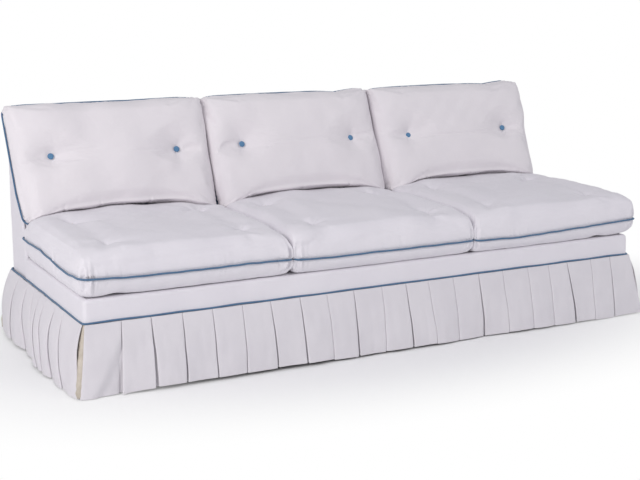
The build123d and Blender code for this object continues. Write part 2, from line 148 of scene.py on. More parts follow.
def joinPieces(name, parts):
    deselectAll()
    for part in parts:
        part.select_set(True)
    bpy.context.view_layer.objects.active = parts[0]
    bpy.ops.object.join()
    parts[0].name = name
    return parts[0]


def finishPiece(piece, body, nodes, material, smoothAngle=None):
    piece.data.materials.clear()
    piece.data.materials.append(material)
    makeActive(piece)
    if smoothAngle is None:
        bpy.ops.object.shade_smooth()
    else:
        bpy.ops.object.shade_smooth_by_angle(angle=math.radians(smoothAngle))
    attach(piece, body)
    if nodes:
        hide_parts(*nodes)
    return piece


drift = {"waves": 7, "lengths": (0.6, 1.6), "damping": 2.6}


def wander(points, seed, size, amount):
    # smooth drifting offsets from a few sine waves that run in random directions
    random = np.random.default_rng(seed)
    total = np.zeros(len(points))
    for _ in range(drift["waves"]):
        direction = random.normal(size=3)
        direction /= np.linalg.norm(direction)
        length = size * random.uniform(*drift["lengths"])
        total += np.sin(points @ direction * 2 * math.pi / length + random.uniform(0, 2 * math.pi))
    return total * amount / drift["damping"]


def ease(value):
    value = np.clip(value, 0, 1)
    return value * value * (3 - 2 * value)


def crease(x, y, start, end, width, depth):
    # a soft valley along a line, with a lower ridge beside it, fading at both ends
    start, end = np.array(start), np.array(end)
    run = end - start
    length = np.linalg.norm(run)
    along = ((x - start[0]) * run[0] + (y - start[1]) * run[1]) / length**2
    side = ((x - start[0]) * run[1] - (y - start[1]) * run[0]) / length
    window = ease(along / 0.25) * ease((1 - along) / 0.35)
    valley = np.exp(-((side / width) ** 2))
    ridge = np.exp(-(((side - 1.8 * width) / width) ** 2))
    return -depth * window * (valley - 0.45 * ridge)


def newGroup(name, inputs, outputs):
    group = bpy.data.node_groups.new(name, "ShaderNodeTree")
    for label, kind, value in inputs:
        socket = group.interface.new_socket(name=label, in_out="INPUT", socket_type=kind)
        if value is not None:
            socket.default_value = value
    for label, kind in outputs:
        group.interface.new_socket(name=label, in_out="OUTPUT", socket_type=kind)
    return group, group.nodes.new("NodeGroupInput"), group.nodes.new("NodeGroupOutput")


def mathNode(nodes, links, operation, *values):
    node = nodes.new("ShaderNodeMath")
    node.operation = operation
    for socket, value in zip(node.inputs, values):
        if isinstance(value, (int, float)):
            socket.default_value = value
        else:
            links.new(value, socket)
    return node.outputs[0]


def noiseNode(nodes, links, vector, scale, detail=2.0, distortion=0.0):
    noise = nodes.new("ShaderNodeTexNoise")
    noise.inputs["Scale"].default_value = scale
    noise.inputs["Detail"].default_value = detail
    noise.inputs["Distortion"].default_value = distortion
    links.new(vector, noise.inputs["Vector"])
    return noise.outputs["Fac"]


def stretched(nodes, links, vector, scale, rotation=(0, 0, 0)):
    mapping = nodes.new("ShaderNodeMapping")
    mapping.inputs["Scale"].default_value = scale
    mapping.inputs["Rotation"].default_value = rotation
    links.new(vector, mapping.inputs["Vector"])
    return mapping.outputs[0]


def buildWeave():
    # threads over and under each other, laid in the plane that the surface faces most
    group, start, end = newGroup(
        "weave",
        [("Vector", "NodeSocketVector", None), ("Threads", "NodeSocketFloat", 900.0)],
        [("Height", "NodeSocketFloat"), ("Slub", "NodeSocketFloat")],
    )
    nodes, links = group.nodes, group.links
    scaled = nodes.new("ShaderNodeVectorMath")
    scaled.operation = "SCALE"
    links.new(start.outputs["Vector"], scaled.inputs[0])
    links.new(start.outputs["Threads"], scaled.inputs["Scale"])
    axes = nodes.new("ShaderNodeSeparateXYZ")
    links.new(scaled.outputs[0], axes.inputs[0])
    waves = [
        mathNode(nodes, links, "SINE", mathNode(nodes, links, "MULTIPLY", axes.outputs[k], math.pi))
        for k in range(3)
    ]
    facing = nodes.new("ShaderNodeNewGeometry")
    sides = nodes.new("ShaderNodeSeparateXYZ")
    links.new(facing.outputs["Normal"], sides.inputs[0])
    total = 0.5
    for k in range(3):
        pair = mathNode(nodes, links, "MULTIPLY", waves[(k + 1) % 3], waves[(k + 2) % 3])
        share = mathNode(nodes, links, "MULTIPLY", sides.outputs[k], sides.outputs[k])
        half = mathNode(nodes, links, "MULTIPLY", mathNode(nodes, links, "MULTIPLY", pair, share), 0.5)
        total = mathNode(nodes, links, "ADD", half, total)
    slub = noiseNode(nodes, links, stretched(nodes, links, start.outputs["Vector"], (40.0, 40.0, 300.0)), 1.0)
    links.new(total, end.inputs["Height"])
    links.new(slub, end.inputs["Slub"])
    return group


def buildMottle():
    # cloudy change of tone: washed cloth, dust and handling
    group, start, end = newGroup(
        "mottle",
        [
            ("Vector", "NodeSocketVector", None),
            ("Size", "NodeSocketFloat", 6.0),
            ("Light", "NodeSocketColor", (0.9, 0.9, 0.9, 1)),
            ("Dark", "NodeSocketColor", (0.8, 0.8, 0.8, 1)),
        ],
        [("Color", "NodeSocketColor"), ("Mask", "NodeSocketFloat")],
    )
    nodes, links = group.nodes, group.links
    cloud = nodes.new("ShaderNodeTexNoise")
    cloud.inputs["Detail"].default_value = 5.0
    cloud.inputs["Roughness"].default_value = 0.6
    links.new(start.outputs["Vector"], cloud.inputs["Vector"])
    links.new(start.outputs["Size"], cloud.inputs["Scale"])
    ramp = nodes.new("ShaderNodeMapRange")
    ramp.inputs["From Min"].default_value = 0.3
    ramp.inputs["From Max"].default_value = 0.7
    links.new(cloud.outputs["Fac"], ramp.inputs["Value"])
    blend = nodes.new("ShaderNodeMix")
    blend.data_type = "RGBA"
    links.new(ramp.outputs[0], blend.inputs["Factor"])
    links.new(start.outputs["Dark"], blend.inputs[6])
    links.new(start.outputs["Light"], blend.inputs[7])
    links.new(blend.outputs[2], end.inputs["Color"])
    links.new(ramp.outputs[0], end.inputs["Mask"])
    return group


weaveGroup = buildWeave()
mottleGroup = buildMottle()


def newMaterial(name, roughness, metallic=0.0, sheen=0.0):
    material = bpy.data.materials.new(name)
    material.use_nodes = True
    nodes, links = material.node_tree.nodes, material.node_tree.links
    shader = nodes["Principled BSDF"]
    shader.inputs["Roughness"].default_value = roughness
    shader.inputs["Metallic"].default_value = metallic
    if sheen:
        shader.inputs["Sheen Weight"].default_value = sheen
        shader.inputs["Sheen Roughness"].default_value = 0.5
    place = nodes.new("ShaderNodeTexCoord").outputs["Object"]
    return material, nodes, links, shader, place


def toneNode(nodes, links, place, size, light, dark):
    tone = nodes.new("ShaderNodeGroup")
    tone.node_tree = mottleGroup
    tone.inputs["Size"].default_value = size
    tone.inputs["Light"].default_value = (*light, 1)
    tone.inputs["Dark"].default_value = (*dark, 1)
    links.new(place, tone.inputs["Vector"])
    return tone


def bumpNode(nodes, links, height, distance, strength=1.0, under=None):
    bump = nodes.new("ShaderNodeBump")
    bump.inputs["Strength"].default_value = strength
    bump.inputs["Distance"].default_value = distance
    links.new(height, bump.inputs["Height"])
    if under is not None:
        links.new(under, bump.inputs["Normal"])
    return bump.outputs[0]


def clothMaterial(name, cloth):
    material, nodes, links, shader, place = newMaterial(name, cloth["roughness"], sheen=cloth["sheen"])
    tone = toneNode(nodes, links, place, cloth["cloudSize"], cloth["light"], cloth["dark"])
    links.new(tone.outputs["Color"], shader.inputs["Base Color"])
    weave = nodes.new("ShaderNodeGroup")
    weave.node_tree = weaveGroup
    weave.inputs["Threads"].default_value = cloth["threads"]
    links.new(place, weave.inputs["Vector"])
    rumple = noiseNode(nodes, links, place, cloth["rumpleSize"], 3.0, 0.7)
    coarse = bumpNode(nodes, links, rumple, cloth["rumpleDepth"])
    slub = mathNode(nodes, links, "MULTIPLY", weave.outputs["Slub"], 0.8)
    threads = mathNode(nodes, links, "ADD", weave.outputs["Height"], slub)
    fine = bumpNode(nodes, links, threads, cloth["threadDepth"], 0.7, coarse)
    links.new(fine, shader.inputs["Normal"])
    return material


cloths = {
    "whiteCotton": {
        "light": (0.775, 0.75, 0.79), "dark": (0.745, 0.72, 0.765), "cloudSize": 4.0,
        "roughness": 0.9, "sheen": 0.12, "threads": 900.0, "threadDepth": 0.0003,
        "rumpleSize": 26.0, "rumpleDepth": 0.0012,
    },
    # the white cotton made lighter and pinker for the back cushions: painted light
    "backCotton": {
        "light": (0.80, 0.763, 0.787), "dark": (0.77, 0.733, 0.762), "cloudSize": 4.0,
        "roughness": 0.9, "sheen": 0.12, "threads": 900.0, "threadDepth": 0.0003,
        "rumpleSize": 26.0, "rumpleDepth": 0.0012,
    },
    # the white cotton made darker for the skirt: painted shade
    "shadedSkirtCotton": {
        "light": (0.715, 0.69, 0.72), "dark": (0.675, 0.65, 0.685), "cloudSize": 6.0,
        "roughness": 0.9, "sheen": 0.1, "threads": 900.0, "threadDepth": 0.0003,
        "rumpleSize": 14.0, "rumpleDepth": 0.0012,
    },
    # the buttons' blue cotton made darker for the corded welts: painted shade
    "shadedBlueCotton": {
        "light": (0.080, 0.165, 0.285), "dark": (0.062, 0.132, 0.235), "cloudSize": 40.0,
        "roughness": 0.85, "sheen": 0.2, "threads": 1100.0, "threadDepth": 0.0003,
        "rumpleSize": 90.0, "rumpleDepth": 0.0006,
    },
    "buttonCotton": {
        "light": (0.105, 0.24, 0.41), "dark": (0.08, 0.20, 0.36), "cloudSize": 40.0,
        "roughness": 0.85, "sheen": 0.2, "threads": 1100.0, "threadDepth": 0.0003,
        "rumpleSize": 90.0, "rumpleDepth": 0.0006,
    },
    "creamLining": {
        "light": (0.64, 0.58, 0.50), "dark": (0.46, 0.41, 0.34), "cloudSize": 22.0,
        "roughness": 0.8, "sheen": 0.1, "threads": 1000.0, "threadDepth": 0.0002,
        "rumpleSize": 40.0, "rumpleDepth": 0.002,
    },
    "dustCloth": {
        "light": (0.045, 0.045, 0.05), "dark": (0.025, 0.025, 0.028), "cloudSize": 30.0,
        "roughness": 0.95, "sheen": 0.1, "threads": 600.0, "threadDepth": 0.0003,
        "rumpleSize": 20.0, "rumpleDepth": 0.001,
    },
    "juteWebbing": {
        "light": (0.50, 0.37, 0.21), "dark": (0.36, 0.25, 0.13), "cloudSize": 60.0,
        "roughness": 0.9, "sheen": 0.1, "threads": 400.0, "threadDepth": 0.0008,
        "rumpleSize": 60.0, "rumpleDepth": 0.0005,
    },
    "tuftTwine": {
        "light": (0.78, 0.74, 0.66), "dark": (0.62, 0.57, 0.48), "cloudSize": 300.0,
        "roughness": 0.7, "sheen": 0.0, "threads": 1500.0, "threadDepth": 0.0003,
        "rumpleSize": 300.0, "rumpleDepth": 0.0003,
    },
}
made = {name: clothMaterial(name, cloth) for name, cloth in cloths.items()}


def woodMaterial():
    # sawn maple: long grain along the sofa, pores in its gloss and surface, and a cloudy change of tone
    material, nodes, links, shader, place = newMaterial("sawnHardwood", 0.6)
    rings = noiseNode(nodes, links, stretched(nodes, links, place, (2.0, 26.0, 26.0)), 1.0, 4.0, 1.2)
    pores = noiseNode(nodes, links, stretched(nodes, links, place, (30.0, 900.0, 900.0)), 1.0, 2.0)
    ramp = nodes.new("ShaderNodeValToRGB")
    ramp.color_ramp.elements[0].position, ramp.color_ramp.elements[0].color = 0.35, (0.36, 0.20, 0.09, 1)
    ramp.color_ramp.elements[1].position, ramp.color_ramp.elements[1].color = 0.65, (0.62, 0.41, 0.22, 1)
    links.new(rings, ramp.inputs["Fac"])
    tone = toneNode(nodes, links, place, 9.0, (1.0, 1.0, 1.0), (0.82, 0.8, 0.78))
    shade = nodes.new("ShaderNodeMix")
    shade.data_type = "RGBA"
    shade.blend_type = "MULTIPLY"
    shade.inputs["Factor"].default_value = 1.0
    links.new(ramp.outputs["Color"], shade.inputs[6])
    links.new(tone.outputs["Color"], shade.inputs[7])
    links.new(shade.outputs[2], shader.inputs["Base Color"])
    links.new(mathNode(nodes, links, "MULTIPLY_ADD", pores, 0.3, 0.42), shader.inputs["Roughness"])
    links.new(bumpNode(nodes, links, pores, 0.0004, 0.6), shader.inputs["Normal"])
    return material


def steelMaterial():
    # zinc-plated thread, dulled in patches
    material, nodes, links, shader, place = newMaterial("platedSteel", 0.35, metallic=1.0)
    tone = toneNode(nodes, links, place, 120.0, (0.62, 0.62, 0.60), (0.42, 0.42, 0.40))
    links.new(tone.outputs["Color"], shader.inputs["Base Color"])
    dulled = mathNode(nodes, links, "MULTIPLY_ADD", tone.outputs["Mask"], 0.25, 0.28)
    links.new(dulled, shader.inputs["Roughness"])
    turned = noiseNode(nodes, links, stretched(nodes, links, place, (60.0, 60.0, 1600.0)), 1.0)
    links.new(bumpNode(nodes, links, turned, 0.0003, 0.5), shader.inputs["Normal"])
    return material


sawnHardwood = woodMaterial()
platedSteel = steelMaterial()
nodeMaterials = {
    "hardwood": sawnHardwood,
    "steel": platedSteel,
    "webbing": made["juteWebbing"],
    "white_cotton": made["whiteCotton"],
    # the corded welts take the darker copy of the buttons' blue, which is painted shade
    "blue_cotton": made["shadedBlueCotton"],
    "cream_lining": made["creamLining"],
    "dust_cloth": made["dustCloth"],
    "twine": made["tuftTwine"],
}
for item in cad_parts.values():
    for slot in item.material_slots:
        label = slot.material.name.split(".")[0]
        if label in nodeMaterials:
            slot.material = nodeMaterials[label]
        else:
            print("no finish for", item.name, slot.material.name)
print("materials built")

seats = {
    "left": {
        "centre": -0.7695, "half": 0.3788, "grow": (0.0, 0.0090), "fill": (0.72, 0.66), "lowFill": 0.4,
        "droop": (0.013, 0.019), "seed": 11, "buttons": ((-0.254, 0.221), (0.244, 0.216)),
        "tucks": (-0.24, -0.10, 0.095), "fanned": 0.0034, "gathered": 0.0054, "clear": 0.0,
    },
    "middle": {
        "centre": 0.0, "half": 0.3713, "grow": (0.0090, 0.0090), "fill": (0.72, 0.66), "lowFill": 0.4,
        "droop": (0.028, 0.019), "seed": 12, "buttons": ((-0.247, 0.218), (0.245, 0.213)),
        "tucks": (-0.27, -0.02, 0.19), "fanned": 0.0020, "gathered": 0.0016, "clear": 0.0,
    },
    "right": {
        "centre": 0.7695, "half": 0.3788, "grow": (0.0090, 0.0060), "fill": (0.72, 0.86), "lowFill": 0.85,
        "droop": (0.021, 0.011), "seed": 13, "buttons": ((-0.244, 0.206), (0.243, 0.211)),
        "tucks": (-0.20, 0.02, 0.27), "fanned": 0.0020, "gathered": 0.0016, "clear": 0.012,
    },
}
seatShape = {
    "front": -0.471, "rear": 0.2585, "corner": 0.046, "squareCorner": 0.014, "bow": 0.003, "seam": 0.389,
    "deck": 0.322, "voxel": 0.008, "cap": 0.005, "frontFill": 0.40, "footIn": 0.011, "rearRise": 0.003,
    "tufts": ((-0.243, -0.3415), (0.243, -0.3415), (-0.243, 0.0535), (0.243, 0.0535)),
    "bridges": (-1.025, 0.985), "bridgeHigh": 0.0065, "bridgeWide": 0.035, "clearance": 0.0016,
}
backShape = {
    "foot": (0.0, 0.2178, 0.473), "lean": math.radians(23.4), "length": 0.4316, "drop": 0.007,
    "corner": 0.030, "cornerRoom": 0.012, "squareCorner": 0.014, "hollow": 0.039, "headBow": 0.004,
    "weltDrop": 0.0015, "sideFill": (0.62, 0.30), "headFill": 0.5, "rollFill": 0.52, "rollOut": 0.014,
    "headRise": 0.0022, "frontFoot": 0.0094, "frontArch": 0.0278, "voxel": 0.008, "cap": 0.008,
    "buttonSeat": 0.047, "buttonRadius": 0.0118, "twine": ((-0.247, 0.214), (0.247, 0.214)),
}
backUp = np.array([0.0, math.sin(backShape["lean"]), math.cos(backShape["lean"])])
backOut = np.array([0.0, -math.cos(backShape["lean"]), math.sin(backShape["lean"])])
# how far the seats' corded seam is above or below its level line
frontSway = (
    (
        -1.104, -0.95, -0.738, -0.553, -0.392, -0.372, -0.242, 0.0,
        0.177, 0.362, 0.395, 0.584, 0.824, 1.024, 1.142,
    ),
    (
        0.005, -0.001, -0.002, -0.001, -0.005, -0.009, -0.012, -0.012,
        -0.013, -0.012, -0.015, -0.020, -0.011, -0.004, 0.0,
    ),
)
leftSway = (
    (-0.45, -0.386, -0.319, -0.25, -0.192, -0.133, -0.072, -0.01, 0.055, 0.149, 0.224),
    (0.005, 0.001, -0.003, -0.002, 0.002, 0.008, 0.010, 0.015, 0.014, 0.011, 0.015),
)
rightSway = 0.006
# how the back cushions' top edges wave, and how far their outer edges lean out
headWave = {
    "left": ((-0.379, -0.30, -0.2, 0.1, 0.30, 0.379), (-0.001, 0.002, 0.0, -0.002, 0.002, -0.003)),
    "middle": (
        (-0.371, -0.31, 0.0, 0.15, 0.23, 0.27, 0.33, 0.371),
        (-0.004, 0.001, -0.002, -0.003, -0.009, -0.004, 0.003, -0.002),
    ),
    "right": (
        (-0.379, -0.30, 0.0, 0.15, 0.22, 0.27, 0.32, 0.379),
        (-0.004, 0.0, -0.001, -0.003, -0.007, 0.0, 0.005, -0.006),
    ),
}
sideLean = {
    "left": ((-0.02, 0.10, 0.41), (0.006, -0.008, -0.016)),
    "right": ((-0.02, 0.15, 0.41), (-0.007, 0.0, 0.002)),
}


def seamSway(x, y):
    atFront = np.interp(x, *frontSway)
    atSide = np.where(x < -1.0, np.interp(y, *leftSway), rightSway)
    share = ease((y + 0.46) / 0.12)
    return atFront * (1 - share) + atSide * share


def toBack(points, centre):
    # x along the sofa, height up the leaning seam plane, and how far in front of it
    offset = points - np.array(backShape["foot"]) - np.array([centre, 0, 0])
    return np.stack([offset[:, 0], offset @ backUp, offset @ backOut], axis=1)


def fromBack(local, centre):
    start = np.array(backShape["foot"]) + np.array([centre, 0, 0])
    across = np.outer(local[:, 0], [1, 0, 0])
    return start + across + np.outer(local[:, 1], backUp) + np.outer(local[:, 2], backOut)


def closeTwineHoles(piece, across, centres, around=0.0022):
    # the thread's own narrow holes are closed before the cover is remeshed
    flat = across(readPoints(piece))
    gaps = np.linalg.norm(flat[:, None, :] - np.array(centres)[None, :, :], axis=2)
    deletePoints(piece, gaps.min(axis=1) < around)
    editAll(piece, fillHoles, turnOutward)


def smoothWhere(piece, chosen, rounds):
    # the surface is relaxed only where it is chosen
    group = piece.vertex_groups.new(name="soft")
    group.add(np.flatnonzero(chosen).tolist(), 1.0, "REPLACE")
    addModifier(piece, "SMOOTH", factor=0.5, iterations=rounds, vertex_group="soft")
    piece.vertex_groups.clear()


fillingFrames = 20
filling = {
    "quality": 4, "mass": 0.3, "tension_stiffness": 10, "compression_stiffness": 10,
    "bending_stiffness": 0.3, "uniform_pressure_force": 4.0, "pin_stiffness": 3.0,
}
holds = {"loose": 0.6, "firm": 1.0}


def inflate(piece, cap, held):
    # the cover is filled: pressure swells it while the seam and the tufts hold it
    before = readPoints(piece)
    group = piece.vertex_groups.new(name="held")
    for weight in holds.values():
        group.add(np.flatnonzero(held == weight).tolist(), weight, "REPLACE")
    makeActive(piece)
    bpy.ops.object.modifier_add(type="CLOTH")
    modifier = piece.modifiers[-1]
    cloth = modifier.settings
    for label, value in filling.items():
        setattr(cloth, label, value)
    cloth.use_pressure = True
    cloth.vertex_group_mass = "held"
    cloth.effector_weights.gravity = 0
    modifier.point_cache.frame_start = 1
    modifier.point_cache.frame_end = fillingFrames
    for step in range(1, fillingFrames + 1):
        bpy.context.scene.frame_set(step)
    bpy.ops.object.modifier_apply(modifier=modifier.name)
    move = readPoints(piece) - before
    length = np.linalg.norm(move, axis=1, keepdims=True)
    writePoints(piece, before + move * np.minimum(1, cap / np.maximum(length, 1e-9)))
    piece.vertex_groups.clear()
    bpy.context.scene.frame_set(1)
    print(piece.name, "filled, largest move", round(float(length.max()) * 1000), "mm")


sideZone = {"reach": 0.11, "straight": 0.08, "swell": 0.09}


def fillSides(across, seat, amounts, share, grow):
    # the sides stand up straighter, and swell over to the next cushion where there is one
    inward = seat["half"] - np.abs(across)
    amount = np.where(across < 0, *amounts)
    weight = ease((sideZone["reach"] - inward) / sideZone["straight"]) * share
    near = ease((sideZone["reach"] - inward) / sideZone["swell"])
    swell = np.where(across < 0, *seat["grow"]) * grow * near
    return np.sign(across) * (seat["half"] + swell - inward * (1 - amount * weight))


def squareOff(x, y, reach, edge, corners, sideX, sideY):
    # one corner of a rounded outline is drawn out towards a squarer one
    radius, small = corners
    u = sideX * x - (reach - radius)
    v = sideY * (y - edge) + radius
    away = np.hypot(u, v)
    inside = (u > 0) & (v > 0)
    dirU, dirV = u / np.maximum(away, 1e-9), v / np.maximum(away, 1e-9)
    inner = radius - small
    straight = radius / np.maximum(np.maximum(dirU, dirV), 1e-9)
    dot = (dirU + dirV) * inner
    arc = dot + np.sqrt(np.maximum(dot**2 - 2 * inner**2 + small**2, 0))
    nearArc = straight * np.minimum(dirU, dirV) > inner
    reachOut = np.where(nearArc, arc, straight) / radius
    factor = np.where(inside, 1 + (reachOut - 1) * ease(away / radius), 1.0)
    return x + sideX * (factor - 1) * u, y + sideY * (factor - 1) * v


fan = {
    "inset": 0.012, "spread": 0.9, "start": 0.010, "fade": 0.032, "coarse": (19, 23), "fine": (30, 34),
    "fineShare": 0.6, "tuckDepth": 2.6, "tuckWidth": 0.006, "tuckRidge": 0.013,
}


def cornerFolds(x, y, high, reach, low, top, corner, seed, strength):
    # gathered cloth fans out from each rounded corner and dies away up the face
    random = np.random.default_rng(seed)
    total = np.zeros(len(x))
    inset, width = corner + fan["inset"], fan["tuckWidth"]
    for sideX in (-1, 1):
        for edge, sideY in ((low, -1), (top, 1)):
            dx = (x - sideX * (reach - inset)) * sideX
            dy = (y - edge + sideY * inset) * sideY
            angle, away = np.arctan2(dy, dx), np.hypot(dx, dy)
            inside = np.exp(-(((angle - math.pi / 4) / fan["spread"]) ** 4))
            fade = np.clip(high / fan["start"], 0, 1) * np.exp(-high / fan["fade"])
            fade *= np.clip(away / 0.03, 0, 1)
            wave = np.cos(angle * random.uniform(*fan["coarse"]) + random.uniform(0, 6.28))
            wave += fan["fineShare"] * np.cos(angle * random.uniform(*fan["fine"]) + random.uniform(0, 6.28))
            total += wave * inside * fade * strength
            # the tuck folded in right at the corner
            off = (angle - math.pi / 4) * away
            ridges = np.exp(-(((np.abs(off) - fan["tuckRidge"]) / width) ** 2))
            tuck = np.exp(-((off / width) ** 2)) - 0.5 * ridges
            level = ease(high / 0.008) * ease((0.045 - high) / 0.015) * (away > 0.02)
            total -= fan["tuckDepth"] * strength * tuck * level
    return total


gathers = {"lengths": (0.017, 0.024, 0.037), "patches": (14, 19), "start": 0.006, "fade": 0.028}


def seamGathers(along, high, seed, strength):
    # small puckers square to the seam, stronger in some stretches than in others
    random = np.random.default_rng(seed)
    wave = np.zeros(len(along))
    for length in gathers["lengths"]:
        length *= random.uniform(0.9, 1.1)
        wave += np.cos(2 * math.pi * along / length + random.uniform(0, 6.28))
    patch = 0.5 + 0.5 * np.sin(along * random.uniform(*gathers["patches"]) + random.uniform(0, 6.28))
    level = np.clip(high / gathers["start"], 0, 1) * np.exp(-high / gathers["fade"])
    return strength * wave / 2 * patch**2 * level


def tuftFolds(x, y, spots, seed, depth, strength, width):
    # a dimple at each spot, with uneven soft folds round it
    random = np.random.default_rng(seed)
    total = np.zeros(len(x))
    for spotX, spotY in spots:
        dx, dy = x - spotX, y - spotY
        away, angle = np.hypot(dx, dy), np.arctan2(dy, dx)
        total -= depth * np.exp(-((away / width) ** 1.3))
        creases = np.zeros(len(x))
        for count in (2, 3, 5):
            creases += random.uniform(0.4, 1.0) * np.cos(count * angle + random.uniform(0, 6.28))
        total += strength * creases / 2 * (away / width) * np.exp(1 - away / width)
    return total


def seatEdge(x, y, half):
    # how far inside the seam's outline a point is, and where along the outline it is
    sideGap = half - np.abs(x)
    frontGap, rearGap = y - seatShape["front"], seatShape["rear"] - y
    edge = np.minimum(sideGap, np.minimum(frontGap, rearGap))
    along = np.where(sideGap < np.minimum(frontGap, rearGap), y + 3.0 * np.sign(x), x)
    return edge, along


def squareSeat(side, x, y):
    # seats are squarer where they meet each other and at the free right-hand end
    corners = seatShape["corner"], seatShape["squareCorner"]
    for sideX in (-1, 1):
        if side != "left" or sideX == 1:
            x, y = squareOff(x, y, seats[side]["half"], seatShape["front"], corners, sideX, -1)
    return x, y


def squareBack(side, x, up):
    corners = backShape["corner"] + backShape["cornerRoom"], backShape["squareCorner"]
    for sideX in (-1, 1):
        x, up = squareOff(x, up, seats[side]["half"], backShape["length"], corners, sideX, 1)
    return x, up


def hangBack(side, local):
    # the head waves, the outer edges lean and the lower corners droop, cover and cord alike
    x, up = local[:, 0], local[:, 1]
    droop = np.where(x < 0, *seats[side]["droop"])
    shift = np.interp(x, *headWave[side]) * ease((up - 0.33) / 0.08)
    shift -= droop * ease((np.abs(x) - 0.23) / 0.13) * ease((0.13 - up) / 0.11)
    moved = local.copy()
    moved[:, 1] += shift
    if side in sideLean:
        outward = math.copysign(1, seats[side]["centre"])
        near = ease((outward * x - seats[side]["half"] + 0.16) / 0.14)
        moved[:, 0] += np.interp(up, *sideLean[side]) * near
    return moved


sideRoom = {"free": 0.02, "pressed": 0.0003}


def limitSides(side, across):
    # neighbours press flat against each other half way between their seams, free outer ends may swell on
    seat = seats[side]
    lower = sideRoom["free" if side == "left" else "pressed"]
    upper = sideRoom["free" if side == "right" else "pressed"]
    return np.clip(across, -seat["half"] - seat["grow"][0] - lower, seat["half"] + seat["grow"][1] + upper)


def frontFoot(x, half):
    # the lowest line of a back cushion's front, where it meets the seat's crown
    return backShape["frontFoot"] - backShape["frontArch"] * (x / half) ** 2


def startBack(side):
    seat = seats[side]
    piece = copyNode(side + "_back_cushion", side + "BackCushion")
    closeTwineHoles(piece, lambda p: toBack(p, seat["centre"])[:, :2], backShape["twine"])
    addModifier(piece, "REMESH", mode="VOXEL", voxel_size=backShape["voxel"])
    addModifier(piece, "SMOOTH", factor=0.5, iterations=8)
    x, up, out = toBack(readPoints(piece), seat["centre"]).T
    gaps = [np.hypot(x - spotX, up - spotUp) for spotX, spotUp in backShape["twine"]]
    smoothWhere(piece, (np.minimum(*gaps) < 0.072) & (out > 0.01), 110)
    local = toBack(readPoints(piece), seat["centre"])
    x, up, out = local.T
    x, up = squareBack(side, x, up)
    front = ease(out / 0.010)
    local[:, 0] = fillSides(x, seat, backShape["sideFill"], front, ease(out / 0.012))
    topGap = backShape["length"] - up
    up = backShape["length"] - topGap * (1 - backShape["headFill"] * ease((0.09 - topGap) / 0.07) * front)
    # the front runs nearly straight down to the seat before it turns under
    lowGap = np.maximum(up - frontFoot(x, seat["half"]), 0)
    rolled = backShape["rollFill"] * ease((0.13 - lowGap) / 0.12) * ease((out - 0.02) / 0.03)
    local[:, 1] = up - lowGap * rolled
    local[:, 2] = out + backShape["rollOut"] * ease((0.035 - lowGap) / 0.035) * ease((out - 0.03) / 0.025)
    writePoints(piece, fromBack(local, seat["centre"]))
    x, up, out = local.T
    held = np.zeros(len(local))
    held[out < -0.04] = holds["loose"]
    edge = np.minimum(seat["half"] - np.abs(x), np.minimum(backShape["length"] - up, up + 0.02))
    held[(np.abs(out) < 0.009) & (edge < 0.012)] = holds["firm"]
    for spotX, spotUp in seat["buttons"]:
        held[(np.hypot(x - spotX, up - spotUp) < 0.016) & (out > 0)] = holds["firm"]
    inflate(piece, backShape["cap"], held)
    addModifier(piece, "SUBSURF", levels=1, render_levels=1)
    return piece


backFolds = {
    "fanned": 0.0018, "fanCorner": 0.040, "gathered": 0.0012, "seamReach": 0.09,
    "round": (0.0, 0.0017, 0.060), "pit": (0.18, 0.024), "dish": (0.82, 0.120),
    "pullDepth": 0.0015, "pullWidth": 0.012, "lowPullWidth": 0.024, "innerPullWidth": 0.030,
    "tuckDepth": 0.0024, "tuckWidth": 0.0048,
    "swell": (0.26, 0.0042), "ripple": (0.09, 0.0008), "head": (0.12, 0.0011), "seamDepth": 0.0030,
}


def buttonPulls(x, up, out, seat, random):
    # each button draws the face down to its own seat, and creases run out from it
    total = np.zeros(len(x))
    depth, width = backFolds["pullDepth"], backFolds["pullWidth"]
    (pitShare, pitWidth), (dishShare, dishWidth) = backFolds["pit"], backFolds["dish"]
    for spotX, spotUp in seat["buttons"]:
        away = np.hypot(x - spotX, up - spotUp)
        level = out[(away < 0.02) & (out > 0)].mean()
        sink = level - backShape["buttonSeat"] + 0.0004
        total -= sink * pitShare * np.exp(-((away / pitWidth) ** 1.5))
        total -= sink * dishShare * np.exp(-((away / dishWidth) ** 2))
        outward = math.copysign(1, spotX)
        for _ in range(3):
            rise, reach = random.uniform(-0.03, 0.02), random.uniform(0.08, 0.13)
            start, end = (spotX + 0.012 * outward, spotUp), (spotX + reach * outward, spotUp + rise)
            total += crease(x, up, start, end, width * random.uniform(0.7, 1.4), depth)
        end = (spotX + random.uniform(-0.03, 0.03), spotUp - 0.12)
        total += crease(x, up, (spotX, spotUp - 0.01), end, backFolds["lowPullWidth"], depth)
        end = (spotX - outward * random.uniform(0.10, 0.16), spotUp + random.uniform(-0.02, 0.02))
        total += crease(x, up, (spotX - 0.012 * outward, spotUp), end, backFolds["innerPullWidth"], depth)
    return total


